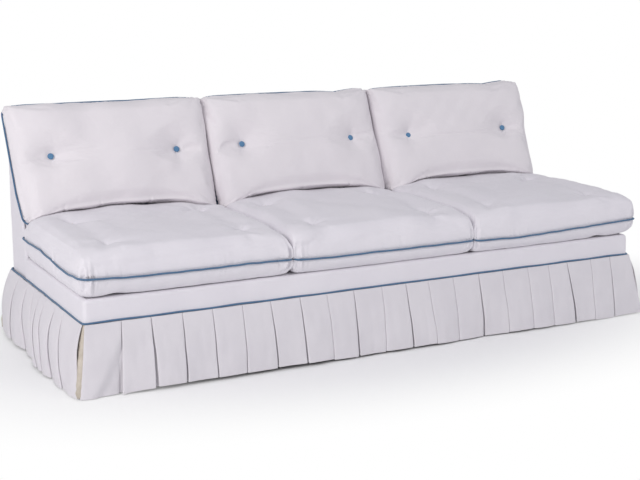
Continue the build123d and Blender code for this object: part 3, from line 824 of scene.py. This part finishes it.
def makeBack(side):
    seat, seed = seats[side], seats[side]["seed"] + 20
    piece = startBack(side)
    points, normals = readPoints(piece), readNormals(piece)
    x, up, out = toBack(points, seat["centre"]).T
    high = np.abs(out)
    sideGap = seat["half"] - np.abs(x)
    topGap = backShape["length"] - up
    edge = np.minimum(sideGap, np.minimum(topGap, up + 0.01))
    along = np.where(sideGap < np.minimum(topGap, up), up + 3.0 * np.sign(x), x)
    outline = seat["half"], -backShape["drop"], backShape["length"]
    lift = cornerFolds(x, up, high, *outline, backFolds["fanCorner"], seed, backFolds["fanned"])
    lift += seamGathers(along, high, seed + 9, backFolds["gathered"]) * (edge < backFolds["seamReach"])
    face = ease((out - 0.015) / 0.02)
    lift += face * tuftFolds(x, up, seat["buttons"], seed + 50, *backFolds["round"])
    random = np.random.default_rng(seed + 70)
    lift += face * buttonPulls(x, up, out, seat, random)
    for tuckX in seat["tucks"]:
        low = frontFoot(tuckX, seat["half"])
        start = (tuckX, low - 0.012)
        end = (tuckX + random.uniform(-0.006, 0.006), low + random.uniform(0.020, 0.034))
        lift += ease(out / 0.012) * crease(x, up, start, end, backFolds["tuckWidth"], backFolds["tuckDepth"])
    lift += face * wander(points, seed + 3, *backFolds["swell"])
    lift += face * wander(points, seed + 4, *backFolds["ripple"])
    lift -= backFolds["seamDepth"] * np.exp(-((high / 0.006) ** 2)) * (edge < 0.03)
    lift[(out < -0.02) & (lift > 0)] = 0
    local = toBack(points + normals * lift[:, None], seat["centre"])
    # the cover rolls up in front of the cord along the head, in places more than in others
    headRoll = np.exp(-(((out - 0.010) / 0.009) ** 2)) * ease((0.03 - topGap) / 0.02)
    local[:, 1] += headRoll * (backShape["headRise"] + wander(points, seed + 6, *backFolds["head"]))
    local[:, 0] = limitSides(side, local[:, 0])
    writePoints(piece, fromBack(hangBack(side, local), seat["centre"]))
    # the backs take the lighter, pinker copy of the white cotton, which is painted light
    finishPiece(piece, side + "_back", [side + "_back_cushion"], made["backCotton"])
    return piece


def backWelt(side):
    seat, out = seats[side], weltShape["out"]
    ring = outlinePoints(
        seat["half"] + out, -backShape["drop"] - backShape["weltDrop"] - out, backShape["length"] + out,
        backShape["corner"] + out, -backShape["hollow"], backShape["headBow"],
    )
    local = hangBack(side, np.c_[ring, np.zeros(len(ring))])
    path = fromBack(local, seat["centre"])
    path += np.outer(wander(path, seat["seed"] + 60, 0.07, weltShape["ripple"]), backOut)
    piece = cordAlong(side + "BackWelt", path, weltShape["radius"])
    return finishPiece(piece, side + "_back", [side + "_back_welt"], made["shadedBlueCotton"])


def undersides(pieces):
    # a tree for each piece that rests on the seats, to find its lowest surface above a point
    found = []
    for piece in pieces:
        mesh = piece.data
        mesh.calc_loop_triangles()
        corners = np.empty(len(mesh.loop_triangles) * 3, dtype=np.int64)
        mesh.loop_triangles.foreach_get("vertices", corners)
        found.append(BVHTree.FromPolygons(readPoints(piece).tolist(), corners.reshape(-1, 3).tolist()))
    return found


def pressUnder(points, trees, clearance):
    # the back cushions bear on the seats, which give way under them
    for index in np.flatnonzero((points[:, 1] > 0.04) & (points[:, 2] > 0.40)):
        x, y, z = points[index]
        for tree in trees:
            hit = tree.ray_cast(Vector((x, y, 0.395)), Vector((0, 0, 1)))[0]
            if hit is not None and z > hit.z - clearance:
                z = hit.z - clearance
        points[index, 2] = z
    return points


def startSeat(side):
    seat = seats[side]
    piece = copyNode(side + "_seat_cushion", side + "SeatCushion")
    closeTwineHoles(piece, lambda p: p[:, :2] - [seat["centre"], 0], seatShape["tufts"])
    addModifier(piece, "REMESH", mode="VOXEL", voxel_size=seatShape["voxel"])
    addModifier(piece, "SMOOTH", factor=0.5, iterations=10)
    points = readPoints(piece)
    x, y = squareSeat(side, points[:, 0] - seat["centre"], points[:, 1])
    high = points[:, 2] - seatShape["seam"]
    nearFront = ease((0.22 - y) / 0.10)
    share = ease(np.abs(high) / 0.012) * nearFront * np.where(high > 0, 1.0, seat["lowFill"])
    points[:, 0] = seat["centre"] + fillSides(x, seat, seat["fill"], share, nearFront)
    frontGap, rearGap = y - seatShape["front"], seatShape["rear"] - y
    fuller = seatShape["frontFill"] * ease((0.10 - frontGap) / 0.07) * ease(high / 0.012)
    y = seatShape["front"] + frontGap * (1 - fuller)
    y += seatShape["footIn"] * ease(-high / 0.06) * ease((0.10 - frontGap) / 0.08)
    middle = np.clip(1 - (x / 0.36) ** 2, 0, 1)
    rearward = ease((0.16 - rearGap) / 0.09) * ease(high / 0.02) * (0.12 + 0.30 * middle)
    points[:, 1] = np.where(rearGap < 0.2, seatShape["rear"] - rearGap * (1 - rearward), y)
    rise = ease(points[:, 1] / 0.12) * ease((0.25 - points[:, 1]) / 0.03) * middle
    points[:, 2] += seatShape["rearRise"] * rise * ease((high - 0.03) / 0.04)
    # the lower corners sit closer to the deck, and the free right end hangs a little clear of it
    low = np.maximum(points[:, 2] - seatShape["deck"], 0)
    closer = seatShape["deck"] + low * (1 - 0.25 * ease((0.03 - low) / 0.02))
    points[:, 2] = np.where(low < 0.03, closer, points[:, 2])
    points[:, 2] += seat["clear"] * ease((x - 0.27) / 0.11) * np.clip(-high / 0.067, 0, 1)
    writePoints(piece, points)
    x, y, z = points[:, 0] - seat["centre"], points[:, 1], points[:, 2]
    edge, _ = seatEdge(x, y, seat["half"])
    held = np.zeros(len(points))
    held[z < seatShape["deck"] + 0.006] = holds["loose"]
    held[(np.abs(z - seatShape["seam"]) < 0.009) & (edge < 0.012)] = holds["firm"]
    for spotX, spotY in seatShape["tufts"]:
        held[(np.hypot(x - spotX, y - spotY) < 0.014) & (z > 0.42)] = holds["firm"]
    inflate(piece, seatShape["cap"], held)
    addModifier(piece, "SUBSURF", levels=1, render_levels=1)
    return piece


seatFolds = {
    "seam": 0.0011, "seamReach": 0.09, "patch": (0.0135, 0.0056, 0.050), "pit": (0.0085, 0.0, 0.014),
    "valley": (0.036, 0.0070), "frontPull": (0.018, 0.003), "rearPull": (0.022, 0.003),
    "swell": (0.24, 0.0042), "ripple": (0.08, 0.0007), "seamDepth": 0.0035,
}


def makeSeat(side, trees):
    seat, seed = seats[side], seats[side]["seed"]
    piece = startSeat(side)
    points, normals = readPoints(piece), readNormals(piece)
    x, y, z = points[:, 0] - seat["centre"], points[:, 1], points[:, 2]
    high = np.abs(z - seatShape["seam"])
    edge, along = seatEdge(x, y, seat["half"])
    outline = seat["half"], seatShape["front"], seatShape["rear"]
    lift = cornerFolds(x, y, high, *outline, seatShape["corner"], seed, seat["fanned"])
    lift += seamGathers(along, high, seed + 9, seatFolds["seam"]) * (edge < seatFolds["seamReach"])
    lift += seamGathers(along, high, seed + 19, seat["gathered"]) * ease((0.10 - (x + seat["half"])) / 0.05)
    upper = ease((z - 0.43) / 0.02)
    lift += upper * tuftFolds(x, y, seatShape["tufts"], seed + 50, *seatFolds["patch"])
    lift += upper * tuftFolds(x, y, seatShape["tufts"], seed + 51, *seatFolds["pit"])
    for front, rear in zip(seatShape["tufts"][:2], seatShape["tufts"][2:]):
        lift += upper * crease(x, y, front, rear, *seatFolds["valley"])
        lift += upper * crease(x, y, front, (front[0] * 1.25, -0.45), *seatFolds["frontPull"])
        lift += upper * crease(x, y, rear, (rear[0] * 0.5, -0.02), *seatFolds["rearPull"])
    lift += upper * wander(points, seed + 3, *seatFolds["swell"])
    lift += wander(points, seed + 4, *seatFolds["ripple"])
    lift -= seatFolds["seamDepth"] * np.exp(-((high / 0.006) ** 2)) * (edge < 0.03)
    lift[(z < 0.332) & (lift > 0)] = 0
    points = points + normals * lift[:, None]
    points[:, 2] += seamSway(points[:, 0], y) * np.exp(-((high / 0.05) ** 2)) * ease((0.10 - edge) / 0.05)
    points[:, 2] = np.maximum(points[:, 2], seatShape["deck"] + 0.0008)
    points[:, 0] = seat["centre"] + limitSides(side, points[:, 0] - seat["centre"])
    for bridgeX in seatShape["bridges"]:
        # the front lower edge bridges a dip in the deck
        near = np.exp(-(((points[:, 0] - bridgeX) / seatShape["bridgeWide"]) ** 2)) * ease((-0.40 - y) / 0.04)
        points[:, 2] += seatShape["bridgeHigh"] * near * ease((0.345 - points[:, 2]) / 0.02)
    writePoints(piece, pressUnder(points, trees, seatShape["clearance"]))
    finishPiece(piece, side + "_seat", [side + "_seat_cushion"], made["whiteCotton"])


def seatWelt(side):
    seat, out = seats[side], weltShape["out"]
    ring = outlinePoints(
        seat["half"] + out, seatShape["front"] - out, seatShape["rear"] + out, seatShape["corner"] + out,
        seatShape["bow"], seatShape["bow"],
    )
    x, y = squareSeat(side, ring[:, 0], ring[:, 1])
    end = 0.003 if side == "right" else 0.0
    x = x + end * ease((x - seat["half"] + 0.10) / 0.09)
    path = np.c_[x + seat["centre"], y, np.full(len(ring), seatShape["seam"])]
    ripple = wander(path, seat["seed"] + 49, 0.06, weltShape["ripple"])
    path[:, 2] += seamSway(path[:, 0], path[:, 1]) + ripple
    piece = cordAlong(side + "SeatWelt", path, weltShape["radius"])
    finishPiece(piece, side + "_seat", [side + "_seat_welt"], made["shadedBlueCotton"])


def outlinePoints(reach, low, high, corner, lowBow, highBow, step=0.007):
    # a closed rounded outline with bowed sides, as evenly spaced points
    path = []
    for index, (x, y) in enumerate(((reach, low), (reach, high), (-reach, high), (-reach, low))):
        centre = np.array([x - math.copysign(corner, x), y - (corner if index in (1, 2) else -corner)])
        for k in range(13):
            angle = math.radians(-90 + 90 * index + 90 * k / 12)
            path.append(centre + corner * np.array([math.cos(angle), math.sin(angle)]))
    path = np.array(path + path[:1])
    lengths = np.r_[0, np.cumsum(np.linalg.norm(np.diff(path, axis=0), axis=1))]
    at = np.linspace(0, lengths[-1], int(lengths[-1] / step), endpoint=False)
    even = np.stack([np.interp(at, lengths, path[:, 0]), np.interp(at, lengths, path[:, 1])], axis=1)
    share = 1 - np.clip(np.abs(even[:, 0]) / reach, 0, 1) ** 2
    middle = (low + high) / 2
    nearLow = ease((middle - even[:, 1]) / (middle - low) * 2 - 0.6)
    nearHigh = ease((even[:, 1] - middle) / (high - middle) * 2 - 0.6)
    even[:, 1] += -lowBow * share * nearLow + highBow * share * nearHigh
    return even


def cordAlong(name, path, radius):
    # the bias-cut cover over the cord is a round tube swept along the seam
    deselectAll()
    curveData = bpy.data.curves.new(name, "CURVE")
    curveData.dimensions = "3D"
    curveData.bevel_depth = radius
    curveData.bevel_resolution = 3
    spline = curveData.splines.new("POLY")
    spline.points.add(len(path) - 1)
    spline.points.foreach_set("co", np.c_[path, np.ones(len(path))].reshape(-1))
    spline.use_cyclic_u = True
    piece = bpy.data.objects.new(name, curveData)
    bpy.context.collection.objects.link(piece)
    makeActive(piece)
    bpy.ops.object.convert(target="MESH")
    return bpy.context.object


weltShape = {"radius": 0.0034, "out": 0.0036, "ripple": 0.0007}
resting = []
for side in seats:
    resting += [makeBack(side), backWelt(side)]
print("back cushions finished")
trees = undersides(resting)
for side in seats:
    makeSeat(side, trees)
    seatWelt(side)
print("seat cushions finished")

buttonShape = {"dome": 0.0072, "rim": 0.0030, "gather": 0.00022, "gathers": 16}


def makeButton(name, seat, spot):
    # a flat dome with its cloth drawn over the rim
    radius, rim = backShape["buttonRadius"], buttonShape["rim"]
    deselectAll()
    bpy.ops.mesh.primitive_uv_sphere_add(segments=40, ring_count=24, radius=radius, location=(0, 0, 0))
    piece = bpy.context.object
    piece.name = name
    points = readPoints(piece)
    angle = np.arctan2(points[:, 1], points[:, 0])
    away = np.hypot(points[:, 0], points[:, 1])
    height = points[:, 2] / radius
    squared = np.sign(height) * np.abs(height) ** 0.8
    points[:, 2] = np.where(height > 0, squared * (buttonShape["dome"] - rim), squared * rim)
    gather = buttonShape["gather"] * np.cos(buttonShape["gathers"] * angle)
    points[:, 2] += gather * ease(away / radius * 3 - 1.9)
    points[:, :2] *= (1 - 0.05 * ease(-height * 2))[:, None]
    local = points + [spot[0], spot[1], rim + backShape["buttonSeat"]]
    writePoints(piece, fromBack(local, seat["centre"]))
    return piece


for side, seat in seats.items():
    pair = [makeButton(side + "Button", seat, spot) for spot in seat["buttons"]]
    piece = joinPieces(side + "BackButtons", pair)
    pointOutward(piece)
    finishPiece(piece, side + "_back", [side + "_back_buttons"], made["buttonCotton"])
print("buttons covered")

body = {
    "halfWidth": 1.139, "halfDepth": 0.4515, "padding": 0.017, "round": 0.014, "corner": 0.014,
    "bottom": 0.130, "deck": 0.322, "backFoot": 0.2535, "bulge": 0.0018,
    "swell": (0.22, 0.0013), "ripple": (0.06, 0.0003),
}


def bandPath(step=0.012):
    # up the left end, across the front and down the right end, with rounded corners
    corner = body["corner"]
    right, front, rear = body["halfWidth"], -body["halfDepth"], body["backFoot"] - 0.0005
    across, down = right - corner, front + corner
    turns = np.radians((15, 30, 45, 60, 75))
    plan = [(-right, rear), (-right, down)]
    plan += [(-across - corner * math.cos(a), down - corner * math.sin(a)) for a in turns]
    plan += [(-across, front), (across, front)]
    plan += [(across + corner * math.sin(a), down - corner * math.cos(a)) for a in turns]
    plan += [(right, down), (right, rear)]
    plan = np.array(plan)
    lengths = np.r_[0, np.cumsum(np.linalg.norm(np.diff(plan, axis=0), axis=1))]
    at = np.linspace(0, lengths[-1], int(lengths[-1] / step))
    at = np.unique(np.r_[at, lengths])
    return np.stack([np.interp(at, lengths, plan[:, 0]), np.interp(at, lengths, plan[:, 1])], axis=1)


def seatBand():
    # one padded band goes round the seat's two ends and its front
    path = bandPath()
    run = np.gradient(path, axis=0)
    run /= np.linalg.norm(run, axis=1, keepdims=True)
    outward = np.stack([run[:, 1], -run[:, 0]], axis=1)
    bottom, top, edge, thick = body["bottom"], body["deck"], body["round"], body["padding"]
    shoulder, steps = top - edge, 9
    profile = [(-thick, bottom), (0.0, bottom)]
    for k in range(1, steps + 1):
        out = body["bulge"] * math.sin(math.pi * k / steps)
        profile.append((out, bottom + (shoulder - bottom) * k / steps))
    turns = np.radians((20, 40, 60, 80))
    profile += [(-edge + edge * math.cos(a), shoulder + edge * math.sin(a)) for a in turns]
    profile += [(-thick, top), (-thick, top - 0.03), (-thick, (bottom + top) / 2), (-thick, bottom)]
    rows = [np.c_[path + outward * out, np.full(len(path), height)] for out, height in profile]
    piece = gridSheet("seatBand", rows)
    editAll(piece, lambda: bpy.ops.mesh.remove_doubles(threshold=0.00001), fillHoles, turnOutward)
    points, normals = readPoints(piece), readNormals(piece)
    high = ease((points[:, 2] - 0.25) / 0.04)
    lift = (wander(points, 5, *body["swell"]) + wander(points, 6, *body["ripple"])) * high
    inner = np.hypot(normals[:, 0], normals[:, 1])
    writePoints(piece, points + normals * (lift * inner)[:, None])
    return piece


band = seatBand()
borders = ["front_border", "left_border", "right_border"]
finishPiece(band, "sofa_base", borders, made["whiteCotton"], 40)

tightPads = {
    "deck_pad": {"name": "deckPad", "voxel": 0.009, "seed": 81, "ripple": 0.0008, "fill": 0.8},
    "left_back_end": {"name": "leftBackEnd", "voxel": 0.005, "seed": 82, "ripple": 0.0007, "fill": 0.9},
    "right_back_end": {"name": "rightBackEnd", "voxel": 0.005, "seed": 83, "ripple": 0.0007, "fill": 0.9},
    "inside_back_pad": {"name": "insideBack", "voxel": 0.008, "seed": 84, "ripple": 0.0012, "fill": 0.7},
    "back_top_pad": {"name": "backTop", "voxel": 0.006, "seed": 85, "ripple": 0.0008, "fill": 0.8},
    "outside_back": {"name": "outsideBack", "voxel": 0.0065, "seed": 86, "ripple": 0.0009, "fill": 0.9},
}
tightRise = 0.0006
for node, pad in tightPads.items():
    piece = copyNode(node, pad["name"])
    pointOutward(piece)
    addModifier(piece, "REMESH", mode="VOXEL", voxel_size=pad["voxel"])
    addModifier(piece, "SMOOTH", factor=0.5, iterations=4)
    points, normals = readPoints(piece), readNormals(piece)
    lift = wander(points, pad["seed"], 0.25, pad["ripple"])
    lift += wander(points, pad["seed"] + 20, 0.06, pad["ripple"] * 0.25)
    writePoints(piece, points + normals * np.minimum(lift, tightRise)[:, None])
    finishPiece(piece, "sofa_base", [node], made["whiteCotton"])
print("tight upholstery covered")

skirt = {
    "top": 0.2395, "deep": 0.245, "fold": 0.030, "faceTop": 0.0076, "spaceTop": 0.003, "spaceHem": 0.0065,
    "rows": 30, "cloth": 0.0011, "gapTop": 0.0016, "sway": 0.0022, "step": 0.0025,
}
# each slit: where it is at the top and at the hem, how far it opens at the hem, how far the hem stands out
# and how high it is, both in millimetres, as is the bow of each face between two slits
frontSlits = {
    "top": (
        -1.140, -1.014, -0.910, -0.798, -0.688, -0.576, -0.468, -0.353, -0.245, -0.135, -0.017,
        0.085, 0.182, 0.293, 0.409, 0.520, 0.638, 0.738, 0.830, 0.948, 1.045, 1.146,
    ),
    "hem": (
        -1.176, -1.037, -0.914, -0.806, -0.692, -0.583, -0.464, -0.349, -0.240, -0.137, -0.023,
        0.095, 0.196, 0.302, 0.420, 0.530, 0.645, 0.745, 0.850, 0.945, 1.048, 1.184,
    ),
    "gap": (0, 7, 11, 7, 5, 3, 6, 7, 1.6, 7, 1.6, 7, 1.6, 1.4, 8, 1.4, 1.4, 1.6, 9, 1.6, 4, 0),
    "out": (48, 57, 65, 64, 64, 64, 64, 64, 61, 59, 57, 56, 59, 52, 46, 52, 54, 55, 56, 56, 52, 53),
    "lift": (4, 6, 11, 11, 11, 11, 11, 11, 9, 8, 6, 6, 8, 5, 4, 5, 6, 6, 6, 6, 4, 5),
    "bow": (9, -2, 2, -2, 2, 1, -2, 3, 2, -2, 3, -1, 2, 3, -2, 2, 4, 2, -3, 2, -1),
    "seed": 101, "bell": 1.45, "tooth": 0.0, "dent": 0.015,
}
leftSlits = {
    "top": (-0.4500, -0.258, -0.165, -0.054, 0.021, 0.105, 0.194, 0.310, 0.4515),
    "hem": (-0.490, -0.361, -0.238, -0.160, -0.106, 0.020, 0.130, 0.286, 0.480),
    "gap": (0, 3, 9, 2.4, 4, 2.4, 3, 3, 0),
    "out": (40, 56, 58, 68, 70, 48, 50, 60, 46),
    "lift": (4, 6, 6, 8, 8, 5, 5, 8, 6),
    "bow": (6, 4, 6, 4, 6, 4, 6, 5),
    "seed": 102, "bell": 3.2, "tooth": -0.0045, "dent": 0.0,
}


def regularSlits(count, half, spread, seed, bell):
    # the sides that the picture doesn't show: even pleats, each hung a little differently
    random = np.random.default_rng(seed)
    line = np.linspace(-1, 1, count + 1)
    shift = random.uniform(-0.006, 0.006, count + 1) * (np.abs(line) < 1)
    return {
        "top": tuple(line * half + shift),
        "hem": tuple(line * (half + spread) + 1.4 * shift),
        "gap": tuple(random.choice((1.0, 2.0, 4.0, 5.5), count + 1)),
        "out": tuple(random.uniform(50, 62, count + 1)),
        "lift": tuple(random.uniform(5, 8, count + 1)),
        "bow": tuple(random.uniform(-3, 4, count)),
        "seed": seed, "bell": bell, "tooth": 0.002, "dent": 0.0,
    }


def betweenEnds(slits, t):
    return np.array(slits["top"]) * (1 - t) + np.array(slits["hem"]) * t


def pleatRow(t, slits, wobble):
    # one level line through the cloth: face, fold behind it, backing of the next slit, and on
    at = betweenEnds(slits, t)
    half = (skirt["gapTop"] + (np.array(slits["gap"]) / 1000 - skirt["gapTop"]) * t**0.7) / 2
    bell = 1 - (1 - t) ** slits["bell"]
    depth = skirt["faceTop"] + (np.array(slits["out"]) / 1000 - skirt["faceTop"]) * bell + wobble * bell
    space = skirt["spaceTop"] + (skirt["spaceHem"] - skirt["spaceTop"]) * t
    radius = space / 2
    turn = np.radians((-65, -22, 22, 65))
    count = len(at) - 1
    points = []
    for k in range(count):
        left, right = at[k] + half[k], at[k + 1] - half[k + 1]
        fold = min(skirt["fold"], 0.36 * (right - left))
        leftFold, rightFold = left + fold, right - fold
        bow = slits["bow"][k] / 1000 * bell

        def level(x, layer, left=left, right=right, k=k, bow=bow):
            # how far out a layer of this pleat lies at x
            share = (x - left) / (right - left)
            curve = bow * 4 * share * (1 - share) + slits["tooth"] * bell * (share - 0.5)
            if k == 0:
                curve -= slits["dent"] * bell * ease((share + 0.9 * t - 1.15) / 0.35)
            return depth[k] * (1 - share) + depth[k + 1] * share + curve - layer * space

        def bend(x, layer, side, angles):
            # the cloth turns back on itself, towards one side
            middle = level(x, layer)
            inner = x - side * radius
            return [(inner + side * radius * math.cos(a), middle + radius * math.sin(a)) for a in angles]

        if k:
            points += bend(leftFold, 1.5, 1, turn)
        points += [(x, level(x, 1)) for x in np.linspace(leftFold - radius, left + radius, 4)]
        points += bend(left, 0.5, -1, turn)
        points += [(x, level(x, 0)) for x in np.linspace(left + radius, right - radius, 14)]
        points += bend(right, 0.5, 1, turn[::-1])
        points += [(x, level(x, 1)) for x in np.linspace(right - radius, rightFold + radius, 4)]
        if k < count - 1:
            points += bend(rightFold, 1.5, -1, turn[::-1])
            points += [(rightFold + radius, level(rightFold + radius, 2))]
    return np.array(points)


def pleatedSkirt(name, part):
    # rows of cloth hang from the welt to the hem and stand off one side of the base
    slits = part["slits"]
    random = np.random.default_rng(slits["seed"])
    phase = random.uniform(0, 6.28, len(slits["top"]))
    steps = random.uniform(-skirt["step"], skirt["step"], len(slits["top"]) - 1)
    rows = []
    for t in np.linspace(0, 1, skirt["rows"]):
        row = pleatRow(t, slits, skirt["sway"] * np.sin(t * 5.0 + phase))
        line = betweenEnds(slits, t)
        hem = np.interp(row[:, 0], line, np.array(slits["lift"]) / 1000)
        hem += steps[np.clip(np.searchsorted(line, row[:, 0]) - 1, 0, len(steps) - 1)]
        flat = np.c_[row, skirt["top"] * (1 - t) + hem * t]
        ripple = wander(flat, slits["seed"] + 7, 0.10, 0.0011)
        ripple += wander(flat * [1, 1, 0.35], slits["seed"] + 8, 0.035, 0.0005)
        flat[:, 1] += ripple * ease(t * 3)
        plan = np.outer(flat[:, 0], part["along"]) + np.outer(part["half"] + flat[:, 1], part["outward"])
        rows.append(np.c_[plan, flat[:, 2]])
    piece = gridSheet(name, rows)
    addModifier(piece, "SOLIDIFY", thickness=skirt["cloth"], offset=0.0)
    pointOutward(piece)
    return piece


skirtSides = {
    "frontSkirt": {
        "slits": frontSlits, "node": "front_skirt",
        "along": (1, 0), "outward": (0, -1), "half": body["halfDepth"],
    },
    "rearSkirt": {
        "slits": regularSlits(21, body["halfWidth"], 0.020, 103, 1.8), "node": "rear_skirt",
        "along": (-1, 0), "outward": (0, 1), "half": body["halfDepth"],
    },
    "leftSkirt": {
        "slits": leftSlits, "node": "left_skirt",
        "along": (0, 1), "outward": (-1, 0), "half": body["halfWidth"],
    },
    "rightSkirt": {
        "slits": regularSlits(8, body["halfDepth"], 0.030, 104, 3.2), "node": "right_skirt",
        "along": (0, 1), "outward": (1, 0), "half": body["halfWidth"],
    },
}
for name, part in skirtSides.items():
    piece = pleatedSkirt(name, part)
    # the skirt takes the darker copy of the white cotton, which is painted shade
    finishPiece(piece, "sofa_base", [part["node"]], made["shadedSkirtCotton"], 60)
print("skirt pleated")

lining = {
    "reach": 0.050, "topOut": 0.0028, "hemOut": 0.046, "hem": 0.006, "short": 0.006, "rows": 34, "across": 12,
    "cloth": 0.0009, "ripple": (0.09, 0.0022),
}


def cornerLining(sideX, sideY, seed):
    # the wrinkled lining behind the open pleat at a corner
    rows = []
    run = np.linspace(0, 1, lining["across"])
    for t in np.linspace(0, 1, lining["rows"]):
        out = lining["topOut"] + (lining["hemOut"] - lining["topOut"]) * (1 - (1 - t) ** 1.6)
        cornerX, cornerY = body["halfWidth"] + out, body["halfDepth"] + out
        nearX, nearY = body["halfWidth"] - lining["reach"], body["halfDepth"] - lining["reach"]
        lastX, firstY = cornerX - lining["short"], cornerY - lining["short"]
        first = np.c_[nearX + (lastX - nearX) * run, np.full(len(run), cornerY)]
        second = np.c_[np.full(len(run), cornerX), firstY - (firstY - nearY) * run]
        path = np.r_[first, second]
        height = skirt["top"] * (1 - t) + lining["hem"] * t
        points = np.c_[path * [sideX, sideY], np.full(len(path), height)]
        push = wander(points * [1, 1, 2.2], seed, *lining["ripple"]) * ease(t * 4)
        points[:, :2] += np.sign(points[:, :2]) * (push * 0.5 - 0.001)[:, None]
        rows.append(points)
    piece = gridSheet("cornerLining", rows)
    addModifier(piece, "SOLIDIFY", thickness=lining["cloth"], offset=0.0)
    pointOutward(piece)
    return piece


corners = [cornerLining(sideX, sideY, 120 + 2 * sideX + sideY) for sideX in (-1, 1) for sideY in (-1, 1)]
piece = joinPieces("cornerLinings", corners)
finishPiece(piece, "sofa_base", ["corner_linings"], made["creamLining"])

skirtWelt = {"out": 0.0037, "corner": 0.013, "step": 0.010, "height": 0.243}
reachX, reachY = body["halfWidth"] + skirtWelt["out"], body["halfDepth"] + skirtWelt["out"]
ring = outlinePoints(reachX, -reachY, reachY, skirtWelt["corner"], 0, 0, skirtWelt["step"])
path = np.c_[ring, np.full(len(ring), skirtWelt["height"])]
path[:, 2] += wander(path, 77, 0.25, 0.0012)
piece = cordAlong("skirtWelt", path, weltShape["radius"])
finishPiece(piece, "sofa_base", ["skirt_welt"], made["shadedBlueCotton"])
print("lining and skirt welt done")

cover = {
    "halfWidth": 1.122, "halfDepth": 0.4385, "height": 0.12925, "sag": 0.004, "cloth": 0.0009,
    "legHalf": 0.0315, "cutBack": 0.001,
}
legSpots = [(x, y) for x in (-1.051, 1.051) for y in (-0.3725, 0.3725)] + [(0, -0.3725), (0, 0.3465)]
deselectAll()
middle = (0, 0, cover["height"])
bpy.ops.mesh.primitive_grid_add(x_subdivisions=102, y_subdivisions=40, size=2, location=middle)
dust = bpy.context.object
dust.name = "dustCover"
dust.scale = (cover["halfWidth"], cover["halfDepth"], 1)
settle(dust)
points = readPoints(dust)
for spotX, spotY in legSpots:
    # the cloth is cut round each leg
    away = np.maximum(np.abs(points[:, 0] - spotX), np.abs(points[:, 1] - spotY))
    deletePoints(dust, away < cover["legHalf"] - cover["cutBack"])
    points = readPoints(dust)
edge = np.minimum(cover["halfWidth"] - np.abs(points[:, 0]), cover["halfDepth"] - np.abs(points[:, 1]))
sag = cover["sag"] * ease((edge - 0.03) / 0.15) + wander(points, 91, 0.2, 0.0006) * ease(edge / 0.05)
points[:, 2] -= sag
writePoints(dust, points)
addModifier(dust, "SOLIDIFY", thickness=cover["cloth"], offset=0.0)
finishPiece(dust, "sofa_base", ["dust_cover"], made["dustCloth"])
print("dust cover stretched")

studio = {
    "key": {
        "place": (-5.2, -3.0, 3.2), "aim": (0.0, 0.0, 0.4),
        "size": 3.0, "power": 165.0, "color": (1.0, 0.97, 0.96),
    },
    "fill": {
        "place": (2.4, -4.8, 3.0), "aim": (0.2, 0.0, 0.4),
        "size": 3.0, "power": 48.0, "color": (1.0, 0.98, 0.98),
    },
}
for name, lamp in studio.items():
    lampData = bpy.data.lights.new(name, "AREA")
    lampData.size = lamp["size"]
    lampData.energy = lamp["power"]
    lampData.color = lamp["color"]
    light = bpy.data.objects.new(name, lampData)
    light.location = lamp["place"]
    direction = Vector(lamp["aim"]) - Vector(lamp["place"])
    light.rotation_euler = direction.to_track_quat("-Z", "Y").to_euler()
    bpy.context.collection.objects.link(light)


def seenByEye(nodes, links):
    # 1 for what the camera, a reflection or a view through glass meets, 0 for light on the object
    rays = nodes.new("ShaderNodeLightPath")
    either = mathNode(nodes, links, "MAXIMUM", rays.outputs["Is Camera Ray"], rays.outputs["Is Glossy Ray"])
    return mathNode(nodes, links, "MAXIMUM", either, rays.outputs["Is Transmission Ray"])


world = bpy.data.worlds.new("studioWorld")
bpy.context.scene.world = world
world.use_nodes = True
nodes, links = world.node_tree.nodes, world.node_tree.links
nodes["Background"].inputs["Color"].default_value = (0.93, 0.94, 1.0, 1)
nodes["Background"].inputs["Strength"].default_value = 0.55
whiteBack = nodes.new("ShaderNodeBackground")
whiteBack.inputs["Color"].default_value = (1, 1, 1, 1)
pick = nodes.new("ShaderNodeMixShader")
links.new(seenByEye(nodes, links), pick.inputs[0])
links.new(nodes["Background"].outputs[0], pick.inputs[1])
links.new(whiteBack.outputs[0], pick.inputs[2])
links.new(pick.outputs[0], nodes["World Output"].inputs["Surface"])

floorShape = {"size": 60, "height": -0.0005, "squash": (0.5, 0.85, 0.0), "shadeTo": 0.45, "whiteFrom": 1.05}
deselectAll()
bpy.ops.mesh.primitive_plane_add(size=floorShape["size"], location=(0, 0, floorShape["height"]))
floor = bpy.context.object
floor.name = "floor"
settle(floor)
# the floor takes the shadow near the sofa and turns to the white of the background farther out
paleFloor, nodes, links, shader, place = newMaterial("paleFloor", 0.9)
shader.inputs["Base Color"].default_value = (0.93, 0.93, 0.93, 1)
paper = nodes.new("ShaderNodeEmission")
paper.inputs["Color"].default_value = (1, 1, 1, 1)
squash = stretched(nodes, links, place, floorShape["squash"])
distance = nodes.new("ShaderNodeVectorMath")
distance.operation = "LENGTH"
links.new(squash, distance.inputs[0])
spread = nodes.new("ShaderNodeMapRange")
spread.interpolation_type = "SMOOTHSTEP"
spread.inputs["From Min"].default_value = floorShape["shadeTo"]
spread.inputs["From Max"].default_value = floorShape["whiteFrom"]
links.new(distance.outputs["Value"], spread.inputs["Value"])
blend = nodes.new("ShaderNodeMixShader")
links.new(mathNode(nodes, links, "MULTIPLY", spread.outputs[0], seenByEye(nodes, links)), blend.inputs[0])
links.new(shader.outputs[0], blend.inputs[1])
links.new(paper.outputs[0], blend.inputs[2])
links.new(blend.outputs[0], nodes["Material Output"].inputs["Surface"])
floor.data.materials.append(paleFloor)
print("studio lit")

bpy.context.scene.view_settings.view_transform = "Standard"
